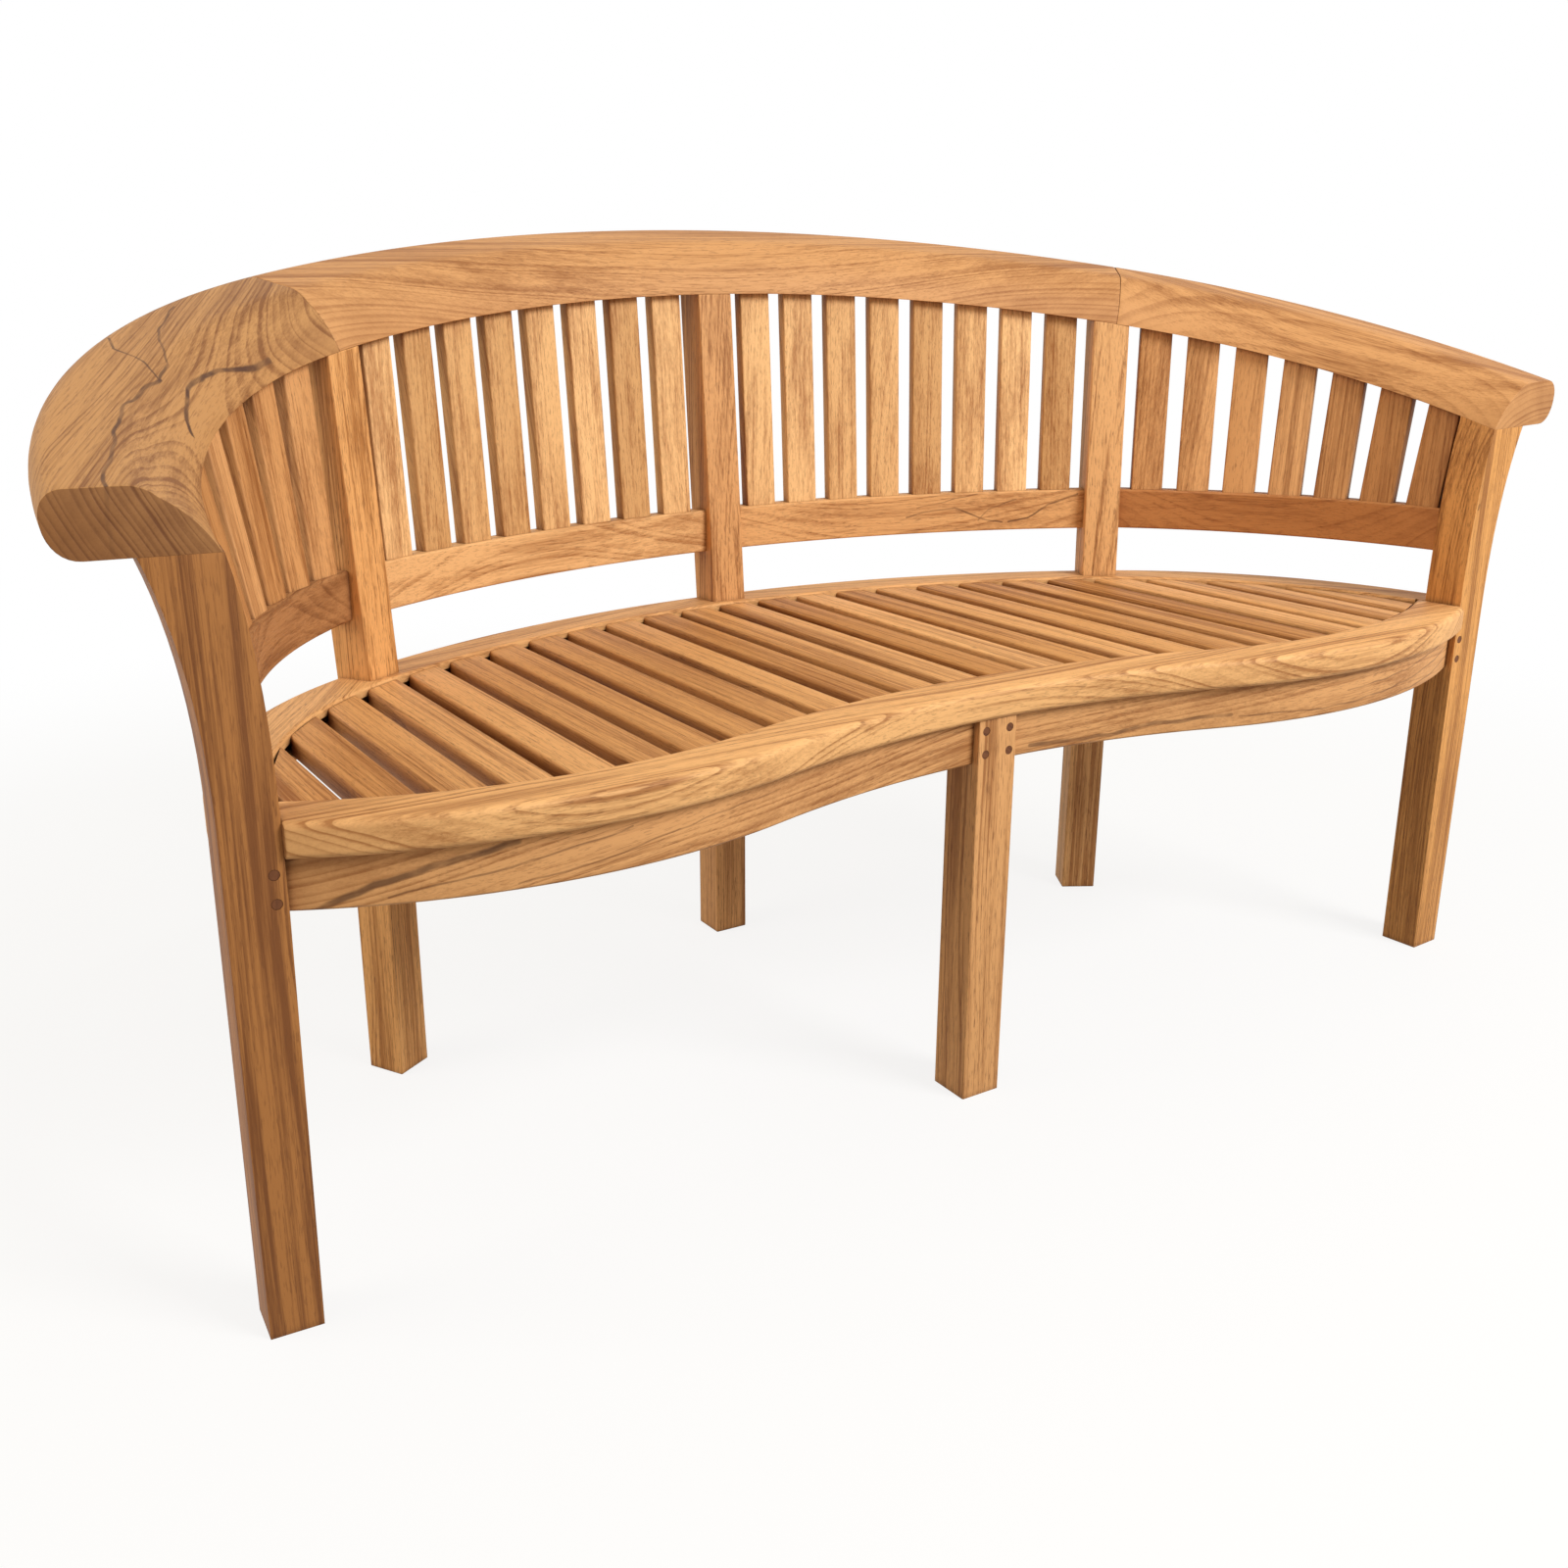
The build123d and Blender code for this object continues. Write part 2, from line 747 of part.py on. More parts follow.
def seat_slat(place):
    """Seat slat across the seat, scribed to the frame and tongued into it."""
    middle = -front_clear / 2
    bar = Plane(origin=(place, 0, tongue_middle), x_dir=(1, 0, 0), z_dir=(0, -1, 0)) * RectangleRounded(
        seat_slat_width, seat_slat_thick, seat_slat_edge)
    bar = extrude(bar, front_clear)
    opening = slab(back_zone(-seat_rail_inner - slat_play) - front_zone(board_width + slat_play),
                   slat_base - tongue_inset, seat_height + tongue_inset)
    wide = slab(back_zone(tongue_length - seat_rail_inner) - front_zone(board_width - tongue_length),
                slat_base, seat_height)
    tongue = Pos(place, middle, tongue_middle) * Box(
        seat_slat_width - 2 * tongue_inset, front_clear, tongue_thick)
    return (bar & opening) + (tongue & wide)


# Pegs

def front_pegs(grow=0):
    """Pegs through the tenons in the two front posts."""
    pegs = []
    for rise in (-peg_rise, peg_rise):
        spot = station(total_angle) * Pos(peg_inset - waist_inner, peg_length / 2 - half_leg,
                                          apron_middle + rise)
        pegs += both(spot * Rot(90, 0, 0) * Cylinder(peg_diameter / 2 + grow, peg_length + 2 * grow))
    return pegs


def leg_pegs(grow=0):
    """Pegs through the tenons in the front centre leg."""
    face = front_leg_middle() - half_front_leg
    pegs = []
    for rise in (-peg_rise, peg_rise):
        for side in (-1, 1):
            spot = Pos(side * (half_front_leg - peg_inset), face + peg_length / 2, apron_middle + rise)
            pegs.append(spot * Rot(90, 0, 0) * Cylinder(peg_diameter / 2 + grow, peg_length + 2 * grow))
    return pegs


# Build every piece

nodes = {}
slats = {}
right_rail = rail_sweep(rail_arm_centre, rail_arm_radius,
                        (rail_back_half_angle, rail_back_half_angle + rail_arm_sweep))
front_face = foot(total_angle) + outward(total_angle + 90) * half_leg
right_rail = split(right_rail, bisect_by=Plane(origin=front_face, z_dir=outward(total_angle + 90)),
                   keep=Keep.BOTTOM)
centre_rail = rail_sweep(rail_centre, rail_back_radius, (-rail_back_half_angle, rail_back_half_angle))

counts = {"centre": back_slats_per_bay, "arm": arm_slats_per_bay}
lower_rails = {}
for name, centre, radius, first, last in bays():
    angles = slat_angles(radius, first, last, counts[name])
    slats[name] = [back_slat(angle) for angle in angles]
    rail = make_lower_rail(centre, radius, first, last)
    for angle in angles:
        housing = back_slat(angle, fit)
        rail -= housing
        if name == "centre":
            for cut in both(housing):
                centre_rail -= cut
        right_rail -= housing
        centre_rail -= housing
        centre_rail -= both(housing)[1]
    lower_rails[name] = rail

for out in dowel_places:
    hole = seam_dowel(out, fit)
    right_rail -= hole
    for cut in both(hole):
        centre_rail -= cut

side_mortise = head_tenon(back_half_angle, *back_head(back_half_angle), grow=fit)
right_rail -= side_mortise
right_rail -= head_tenon(total_angle, *front_head(), grow=fit)
for cut in both(side_mortise):
    centre_rail -= cut
centre_rail -= head_tenon(0, *back_head(0), grow=fit)
nodes["top_rail_centre"] = centre_rail
nodes["top_rail_right_arm"], nodes["top_rail_left_arm"] = both(right_rail)

centre_post = cut_side_mortises(make_back_post(0), 0, (1, -1)) - bearer_post_tenon(0, fit)
side_post = cut_side_mortises(make_back_post(back_half_angle), back_half_angle, (1, -1))
side_post -= bearer_post_tenon(back_half_angle, fit)
front_post = cut_side_mortises(make_front_post(), total_angle, (1,))
front_post -= front_post_tenon(frame_middle, board_tenon_height, fit)
front_post -= front_post_tenon(apron_middle, apron_tenon_height, fit)
front_leg = make_front_leg() - bearer_front_tenon(0, front_leg_back, tenon_length, fit)
aprons = {"right": make_apron(1), "left": make_apron(-1)}

for peg in front_pegs():
    front_post -= peg
    aprons = {side: apron - peg for side, apron in aprons.items()}
for peg in leg_pegs():
    front_leg -= peg
    aprons = {side: apron - peg for side, apron in aprons.items()}
stub = bearer_front_tenon(side_bearer_place, apron_back, apron_stub, fit)
for side, cut in zip(("right", "left"), both(stub)):
    aprons[side] -= cut
    nodes[f"front_apron_{side}"] = aprons[side]

nodes["back_centre_post"] = centre_post
nodes["back_right_post"], nodes["back_left_post"] = both(side_post)
nodes["front_right_post"], nodes["front_left_post"] = both(front_post)
nodes["front_centre_leg"] = front_leg
nodes["front_board"] = make_front_board()
nodes["seat_bearer_centre"] = make_centre_bearer()
nodes["seat_bearer_right"], nodes["seat_bearer_left"] = both(make_side_bearer())

for name, centre, radius, first, last in bays():
    place = "back" if name == "centre" else "arm"
    seat_rail = make_seat_rail(centre, radius, first, last)
    nodes[f"seat_rail_{place}_right"], nodes[f"seat_rail_{place}_left"] = both(seat_rail)
    nodes[f"lower_rail_{place}_right"], nodes[f"lower_rail_{place}_left"] = both(lower_rails[name])
    nodes[f"back_slats_{place}_right"] = Compound(slats[name])
    nodes[f"back_slats_{place}_left"] = Compound([both(slat)[1] for slat in slats[name]])

for k in range(-seat_slats_per_side, seat_slats_per_side + 1):
    slat = seat_slat(k * seat_slat_pitch)
    nodes[f"seat_slat_{k + seat_slats_per_side + 1:02d}"] = slat

nodes["apron_pegs"] = Compound(front_pegs() + leg_pegs())
dowels = [dowel for out in dowel_places for dowel in both(seam_dowel(out))]
nodes["rail_seam_dowels"] = Compound(dowels)

bounds = Compound([shape for shape in nodes.values()]).bounding_box()
shift = Pos(-(bounds.min.X + bounds.max.X) / 2, -(bounds.min.Y + bounds.max.Y) / 2, -bounds.min.Z)
for name, shape in nodes.items():
    export_step(shift * shape, f"parts/{name}.step")
print(len(nodes), "pieces, shifted by", shift.position.Y, "in Y")
print("whole size", bounds.size)
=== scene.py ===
"""Curved garden bench in bare teak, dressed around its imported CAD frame."""

import json
import logging
import math
from collections.abc import Iterator
from contextlib import contextmanager
from dataclasses import dataclass, field, replace
from enum import Enum

import bmesh
import bpy
from mathutils import Matrix, Vector

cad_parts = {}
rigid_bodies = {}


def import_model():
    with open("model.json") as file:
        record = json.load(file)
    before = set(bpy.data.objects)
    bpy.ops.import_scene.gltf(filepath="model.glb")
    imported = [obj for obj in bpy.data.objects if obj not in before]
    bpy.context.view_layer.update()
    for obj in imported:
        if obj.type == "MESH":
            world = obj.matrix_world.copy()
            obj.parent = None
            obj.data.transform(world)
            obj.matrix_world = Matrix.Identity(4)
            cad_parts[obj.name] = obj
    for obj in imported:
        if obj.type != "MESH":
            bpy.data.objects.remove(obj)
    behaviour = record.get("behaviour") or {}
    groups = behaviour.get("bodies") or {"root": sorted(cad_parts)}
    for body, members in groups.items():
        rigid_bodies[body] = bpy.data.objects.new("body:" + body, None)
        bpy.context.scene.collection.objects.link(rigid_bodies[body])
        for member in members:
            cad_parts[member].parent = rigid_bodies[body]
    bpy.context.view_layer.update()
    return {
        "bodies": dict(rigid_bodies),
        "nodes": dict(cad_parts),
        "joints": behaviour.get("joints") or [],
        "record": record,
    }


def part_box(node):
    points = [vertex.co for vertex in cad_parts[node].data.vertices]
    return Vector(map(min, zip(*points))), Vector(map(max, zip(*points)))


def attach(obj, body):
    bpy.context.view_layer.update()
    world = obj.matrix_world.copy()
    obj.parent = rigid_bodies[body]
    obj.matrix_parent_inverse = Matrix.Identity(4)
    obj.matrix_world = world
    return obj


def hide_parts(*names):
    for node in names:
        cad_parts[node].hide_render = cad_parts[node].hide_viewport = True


log = logging.getLogger("garden_bench")
ACROSS, AHEAD, UP = Vector((1, 0, 0)), Vector((0, 1, 0)), Vector((0, 0, 1))
SHARP_ANGLE = 35.0
BEVEL_STEPS = 3
BEVEL_PROFILE = 0.6
WELD = 1e-6
CAD_WELD = 1e-5
EDGE_STEPS = 3

Socket = bpy.types.NodeSocket
Triple = tuple[float, float, float]
Bends = tuple[tuple[float, float], ...]
Lines = tuple[tuple[float, float, Bends], ...]

TEAK_LIGHT = (0.72, 0.37, 0.145)
TEAK_DARK = (0.36, 0.145, 0.042)
PORE_COLOUR = (0.17, 0.058, 0.014)
MINERAL_COLOUR = (0.085, 0.030, 0.010)
# Colour of the painted shade in crevices, gaps and joints between parts
PAINTED_CREVICE_SHADE = (0.16, 0.08, 0.035)
END_SHADE = (0.34, 0.20, 0.10)
WHITE = (1, 1, 1)
MIDDLE = (0.5, 0.5, 0.5)


# Plan of the bench, in metres, in the row frame


def outward(angle: float) -> Vector:
    """Unit vector in plan at an angle from +Y towards +X."""
    turn = math.radians(angle)
    return Vector((math.sin(turn), math.cos(turn), 0))


@dataclass(frozen=True)
class Arc:
    """Circle in plan with the angles it runs between, measured from +Y towards +X.

    Args:
        centre: Middle of the circle.
        radius: Its radius.
        first: Angle where it starts, in degrees.
        last: Angle where it ends, in degrees.
    """

    centre: Vector
    radius: float
    first: float
    last: float

    def at(self, angle: float, out: float = 0.0) -> Vector:
        """Point at an angle, let out from the circle by a distance."""
        return self.centre + outward(angle) * (self.radius + out)


@dataclass(frozen=True)
class Plan:
    """Sizes that the bench's pieces share, named as in the part's source."""

    back_shift: float = 0.24589118
    back_radius: float = 1.005
    back_half_angle: float = 30.4
    arm_radius: float = 0.468
    arm_angle: float = 56.35
    leg: float = 0.045
    seat_height: float = 0.449
    seat_frame_thick: float = 0.0305
    apron_height: float = 0.047
    hollow_lead: float = 0.0227
    bulge_lead: float = 0.0907
    bulge_gap: float = 0.289
    rail_width: float = 0.118
    rail_thick: float = 0.048
    rail_tilt: float = math.radians(16.4)
    rail_under_height: float = 0.814
    rail_setback: float = 0.008
    rail_back_radius: float = 0.917
    rail_back_half_angle: float = 34.0
    rail_arm_radius: float = 0.5
    rail_arm_sweep: float = 60.0

    @property
    def total_angle(self) -> float:
        """Angle of the front posts."""
        return self.back_half_angle + self.arm_angle

    @property
    def back(self) -> Arc:
        """Foot line of the back posts."""
        return Arc(Vector((0, self.back_shift - self.back_radius, 0)), self.back_radius, 0, self.back_half_angle)

    @property
    def arm(self) -> Arc:
        """Foot line round the right arm."""
        centre = self.back.at(self.back_half_angle, -self.arm_radius)
        return Arc(centre, self.arm_radius, self.back_half_angle, self.total_angle)

    @property
    def front_end(self) -> Vector:
        """Foot of the right front post."""
        return self.foot(self.total_angle)

    @property
    def front_reach(self) -> float:
        """How far the board's hollow lies in front of the foot line's middle."""
        return self.hollow_lead + self.back_shift - self.front_end.y

    def foot(self, angle: float) -> Vector:
        """Point on the foot line."""
        return (self.back if angle <= self.back_half_angle else self.arm).at(angle)

    @property
    def rail_centre_arc(self) -> Arc:
        """Inner edge of the centre rail, in the rail's own plane."""
        centre = Vector((0, self.rail_setback - self.rail_back_radius, 0))
        return Arc(centre, self.rail_back_radius, -self.rail_back_half_angle, self.rail_back_half_angle)

    @property
    def rail_arm_arc(self) -> Arc:
        """Inner edge of the right arm's rail, in the rail's own plane."""
        centre = self.rail_centre_arc.at(self.rail_back_half_angle, -self.rail_arm_radius)
        last = self.rail_back_half_angle + self.rail_arm_sweep
        return Arc(centre, self.rail_arm_radius, self.rail_back_half_angle, last)

    @property
    def rail_frame(self) -> Matrix:
        """Turn and place of the rail's sloping plane."""
        place = Vector((0, self.back_shift, self.rail_under_height))
        return Matrix.Translation(place) @ Matrix.Rotation(self.rail_tilt, 4, "X")

    def reach(self, angle: float) -> float:
        """Finds how far out from the foot line the rail's inner edge lies, in plan.

        Args:
            angle: Angle of the place on the foot line.

        Returns:
            The distance.
        """
        slope = math.cos(self.rail_tilt)
        start = self.foot(angle) - Vector((0, self.back_shift, 0))
        way = outward(angle)
        flat = Vector((way.x, way.y / slope))

        def meet(arc: Arc) -> float:
            """Finds how far out the way meets one arc of the rail.

            Args:
                arc: The arc.

            Returns:
                The distance.
            """
            gap = Vector((start.x - arc.centre.x, start.y / slope - arc.centre.y))
            along = gap.dot(flat)
            rest = gap.length_squared - arc.radius ** 2
            square = flat.length_squared
            return (math.sqrt(along ** 2 - square * rest) - along) / square

        out = meet(self.rail_centre_arc)
        point = start + way * out
        swing = math.degrees(math.atan2(point.x, point.y / slope - self.rail_centre_arc.centre.y))
        return meet(self.rail_arm_arc) if swing > self.rail_back_half_angle else out

    def under_rail(self, angle: float, out: float) -> float:
        """Height of the rail's underside at a distance out from the foot line."""
        point = self.foot(angle) + outward(angle) * out
        return self.rail_under_height + (point.y - self.back_shift) * math.tan(self.rail_tilt)


PLAN = Plan()


class Side(Enum):
    """Which half of the bench a piece is on."""

    LEFT = -1
    RIGHT = 1

    @property
    def word(self) -> str:
        """Side as it stands in a node's name."""
        return self.name.lower()

    def flip(self, point: Vector) -> Vector:
        """Point of the right half moved to this side."""
        return Vector((point.x * self.value, point.y, point.z))


# Objects and node trees


def linked(name: str, data: object) -> bpy.types.Object:
    """Makes an object and links it to the scene.

    Args:
        name: Name of the object.
        data: Its mesh, lamp or camera.

    Returns:
        The object, at the origin.
    """
    made = bpy.data.objects.new(name, data)
    bpy.context.scene.collection.objects.link(made)
    return made


class Nodes:
    """Hand that adds nodes to a tree and links them."""

    def __init__(self, tree: bpy.types.NodeTree) -> None:
        """Keeps the tree.

        Args:
            tree: Tree that the nodes go to.
        """
        self.tree = tree

    def add(self, kind: str, values: dict | None = None, **settings: object) -> bpy.types.Node:
        """Adds a node.

        Args:
            kind: Node type.
            values: Inputs by name or number; a socket is linked, anything else is set.
            settings: Settings of the node itself.

        Returns:
            The node.
        """
        node = self.tree.nodes.new(kind)
        for key, value in settings.items():
            setattr(node, key, value)
        for key, value in (values or {}).items():
            if isinstance(value, Socket):
                self.tree.links.new(value, node.inputs[key])
            else:
                node.inputs[key].default_value = value
        return node

    @classmethod
    def inside(cls, owner: bpy.types.ID) -> "Nodes":
        """Empties the tree of a material or world.

        Args:
            owner: The material or world.

        Returns:
            Hand for its tree.
        """
        owner.use_nodes = True
        owner.node_tree.nodes.clear()
        return cls(owner.node_tree)

    def sum(self, operation: str, *terms: object, clamp: bool = False) -> Socket:
        """Result of a Math node on sockets or numbers."""
        node = self.add("ShaderNodeMath", dict(enumerate(terms)), operation=operation, use_clamp=clamp)
        return node.outputs[0]

    def plus(self, *terms: object, clamp: bool = False) -> Socket:
        """Sum of two sockets or numbers."""
        return self.sum("ADD", *terms, clamp=clamp)

    def minus(self, *terms: object) -> Socket:
        """Difference of two sockets or numbers."""
        return self.sum("SUBTRACT", *terms)

    def times(self, *terms: object) -> Socket:
        """Product of two sockets or numbers."""
        return self.sum("MULTIPLY", *terms)

    def over(self, *terms: object, clamp: bool = False) -> Socket:
        """Quotient of two sockets or numbers."""
        return self.sum("DIVIDE", *terms, clamp=clamp)

    def vector(self, operation: str, *terms: object) -> Socket:
        """Result of a Vector Math node on sockets or vectors."""
        node = self.add("ShaderNodeVectorMath", dict(enumerate(terms)), operation=operation)
        return node.outputs[1 if operation in ("LENGTH", "DOT_PRODUCT") else 0]

    def mix(self, share: object, under: object, over: object, blend: str = "MIX") -> Socket:
        """Colour that goes from one to another, each a socket or three numbers."""
        ends = {k: c if isinstance(c, Socket) else (*c, 1) for k, c in ((6, under), (7, over))}
        return self.add("ShaderNodeMix", {0: share, **ends}, data_type="RGBA", blend_type=blend).outputs[2]

    def noise(self, place: Socket, scale: Triple, detail: float, rough: float, colour: bool = False) -> Socket:
        """Noise drawn out by a scale of its own each way."""
        node = self.add("ShaderNodeTexNoise", {"Vector": self.vector("MULTIPLY", place, scale), "Scale": 1.0,
                                               "Detail": detail, "Roughness": rough})
        return node.outputs[1 if colour else 0]

    def turned(self, vector: Socket, turn: Triple, origin: object = (0, 0, 0)) -> Socket:
        """Vector in the directions, and from the origin, of a turned and moved frame."""
        node = self.add("ShaderNodeMapping", {"Vector": vector, "Location": origin, "Rotation": turn},
                        vector_type="TEXTURE")
        return node.outputs[0]

    def join(self, x: object, y: object, z: object) -> Socket:
        """Vector from three sockets or numbers."""
        return self.add("ShaderNodeCombineXYZ", {0: x, 1: y, 2: z}).outputs[0]

    def split(self, vector: Socket) -> tuple[Socket, ...]:
        """Three parts of a vector."""
        return tuple(self.add("ShaderNodeSeparateXYZ", {0: vector}).outputs)

    def remap(self, value: object, low: float, high: float, to_low: float = 0.0, to_high: float = 1.0,
              smooth: bool = True) -> Socket:
        """Value moved from one range to another, clamped."""
        return self.add("ShaderNodeMapRange", {0: value, 1: low, 2: high, 3: to_low, 4: to_high},
                        interpolation_type="SMOOTHSTEP" if smooth else "LINEAR").outputs[0]


class ShapeTree:
    """Geometry Nodes tree with named inputs, run on a mesh and then taken as plain mesh."""

    def __init__(self, name: str) -> None:
        """Starts an empty tree.

        Args:
            name: Name of the tree.
        """
        self.group = bpy.data.node_groups.new(name, "GeometryNodeTree")
        self.group.interface.new_socket("Geometry", in_out="INPUT", socket_type="NodeSocketGeometry")
        self.group.interface.new_socket("Geometry", in_out="OUTPUT", socket_type="NodeSocketGeometry")
        self.nodes = Nodes(self.group)
        self.entry = self.nodes.add("NodeGroupInput")

    def size(self, name: str, kind: str = "Float") -> Socket:
        """Named input of the tree.

        Args:
            name: Name of the input.
            kind: Float, Int, Vector or Material.

        Returns:
            Its socket inside the tree.
        """
        self.group.interface.new_socket(name, in_out="INPUT", socket_type="NodeSocket" + kind)
        return self.entry.outputs[name]

    def curves(self) -> Socket:
        """Edges of the mesh that comes in, as curves."""
        return self.nodes.add("GeometryNodeMeshToCurve", {0: self.entry.outputs["Geometry"]}).outputs[0]

    def outline(self, width: Socket, thick: Socket, edge: Socket) -> Socket:
        """Cross-section of a slat with rounded edges."""
        sheet = self.nodes.add("GeometryNodeCurvePrimitiveQuadrilateral", {"Width": width, "Height": thick})
        return self.nodes.add("GeometryNodeFilletCurve", {"Curve": sheet.outputs[0], "Radius": edge,
                                                         "Count": EDGE_STEPS}, mode="POLY").outputs[0]

    def sweep(self, path: Socket, profile: Socket) -> Socket:
        """Closed bar along a curve."""
        return self.nodes.add("GeometryNodeCurveToMesh", {"Curve": path, "Profile Curve": profile,
                                                          "Fill Caps": True}).outputs[0]

    def vary(self, geometry: Socket, seed: Socket, low: Triple, high: Triple, domain: str) -> Socket:
        """Stores a random shift and tone for each slat.

        Args:
            geometry: Slats, or the lines that they grow on.
            seed: Seed of the draw.
            low: Least shift.
            high: Greatest shift.
            domain: What counts as one slat.

        Returns:
            The geometry with both attributes.
        """
        n = self.nodes
        index = n.add("GeometryNodeInputIndex").outputs[0]
        shift = n.add("FunctionNodeRandomValue", {0: low, 1: high, "ID": index, "Seed": seed},
                      data_type="FLOAT_VECTOR").outputs[0]
        tone = n.add("FunctionNodeRandomValue", {"ID": index, "Seed": n.plus(seed, 1.0)},
                     data_type="FLOAT").outputs[1]
        for name, value, kind in (("shift", shift, "FLOAT_VECTOR"), ("tone", tone, "FLOAT")):
            geometry = n.add("GeometryNodeStoreNamedAttribute", {"Geometry": geometry, "Name": name,
                                                                 "Value": value},
                             data_type=kind, domain=domain).outputs[0]
        return geometry

    def close(self, geometry: Socket, material: Socket) -> None:
        """Ends the tree in Realize Instances and Set Material.

        Args:
            geometry: What the tree has made.
            material: Material of all of it.
        """
        real = self.nodes.add("GeometryNodeRealizeInstances", {0: geometry})
        dressed = self.nodes.add("GeometryNodeSetMaterial", {"Geometry": real.outputs[0], "Material": material})
        self.nodes.add("NodeGroupOutput", {0: dressed.outputs[0]})

    def grow(self, name: str, base: bpy.types.Mesh, sizes: dict[str, object]) -> bpy.types.Object:
        """Runs the tree once.

        Args:
            name: Name of the piece.
            base: Mesh that goes into the tree.
            sizes: Values of the named inputs.

        Returns:
            Object at the origin that holds the result as a plain mesh.
        """
        seed = linked(name + "_base", base)
        modifier = seed.modifiers.new("shape", "NODES")
        modifier.node_group = self.group
        for item in self.group.interface.items_tree:
            if item.item_type == "SOCKET" and item.in_out == "INPUT" and item.name in sizes:
                modifier[item.identifier] = sizes[item.name]
        bpy.context.view_layer.update()
        shape = seed.evaluated_get(bpy.context.evaluated_depsgraph_get())
        mesh = bpy.data.meshes.new_from_object(shape)
        seed.modifiers.remove(modifier)
        bpy.data.objects.remove(seed)
        mesh.name = name
        return linked(name, mesh)


# Wood


class SharedGroup:
    """Shader node group that is built once, at its first use."""

    NAME = ""
    PORTS: tuple = ()
    RESULTS: tuple = ()

    @classmethod
    def get(cls) -> bpy.types.NodeTree:
        """Finds the group or builds it.

        Returns:
            The finished node group.
        """
        known = bpy.data.node_groups.get(cls.NAME)
        if known:
            return known
        group = bpy.data.node_groups.new(cls.NAME, "ShaderNodeTree")
        for name, kind, value in cls.PORTS:
            socket = group.interface.new_socket(name, in_out="INPUT", socket_type="NodeSocket" + kind)
            socket.default_value = value
        for name in cls.RESULTS:
            group.interface.new_socket(name, in_out="OUTPUT", socket_type="NodeSocketFloat")
        n = Nodes(group)
        n.add("NodeGroupOutput", cls.lay(n, n.add("NodeGroupInput").outputs))
        return group

    @classmethod
    def lay(cls, n: Nodes, entry: object) -> dict[str, Socket]:
        """Lays the group's nodes.

        Args:
            n: Nodes of the group.
            entry: Sockets of its inputs.

        Returns:
            Socket of each result.
        """
        raise NotImplementedError

    @classmethod
    def use(cls, n: Nodes, **values: object) -> object:
        """Adds the group to a tree and gives its outputs."""
        return n.add("ShaderNodeGroup", values, node_tree=cls.get()).outputs


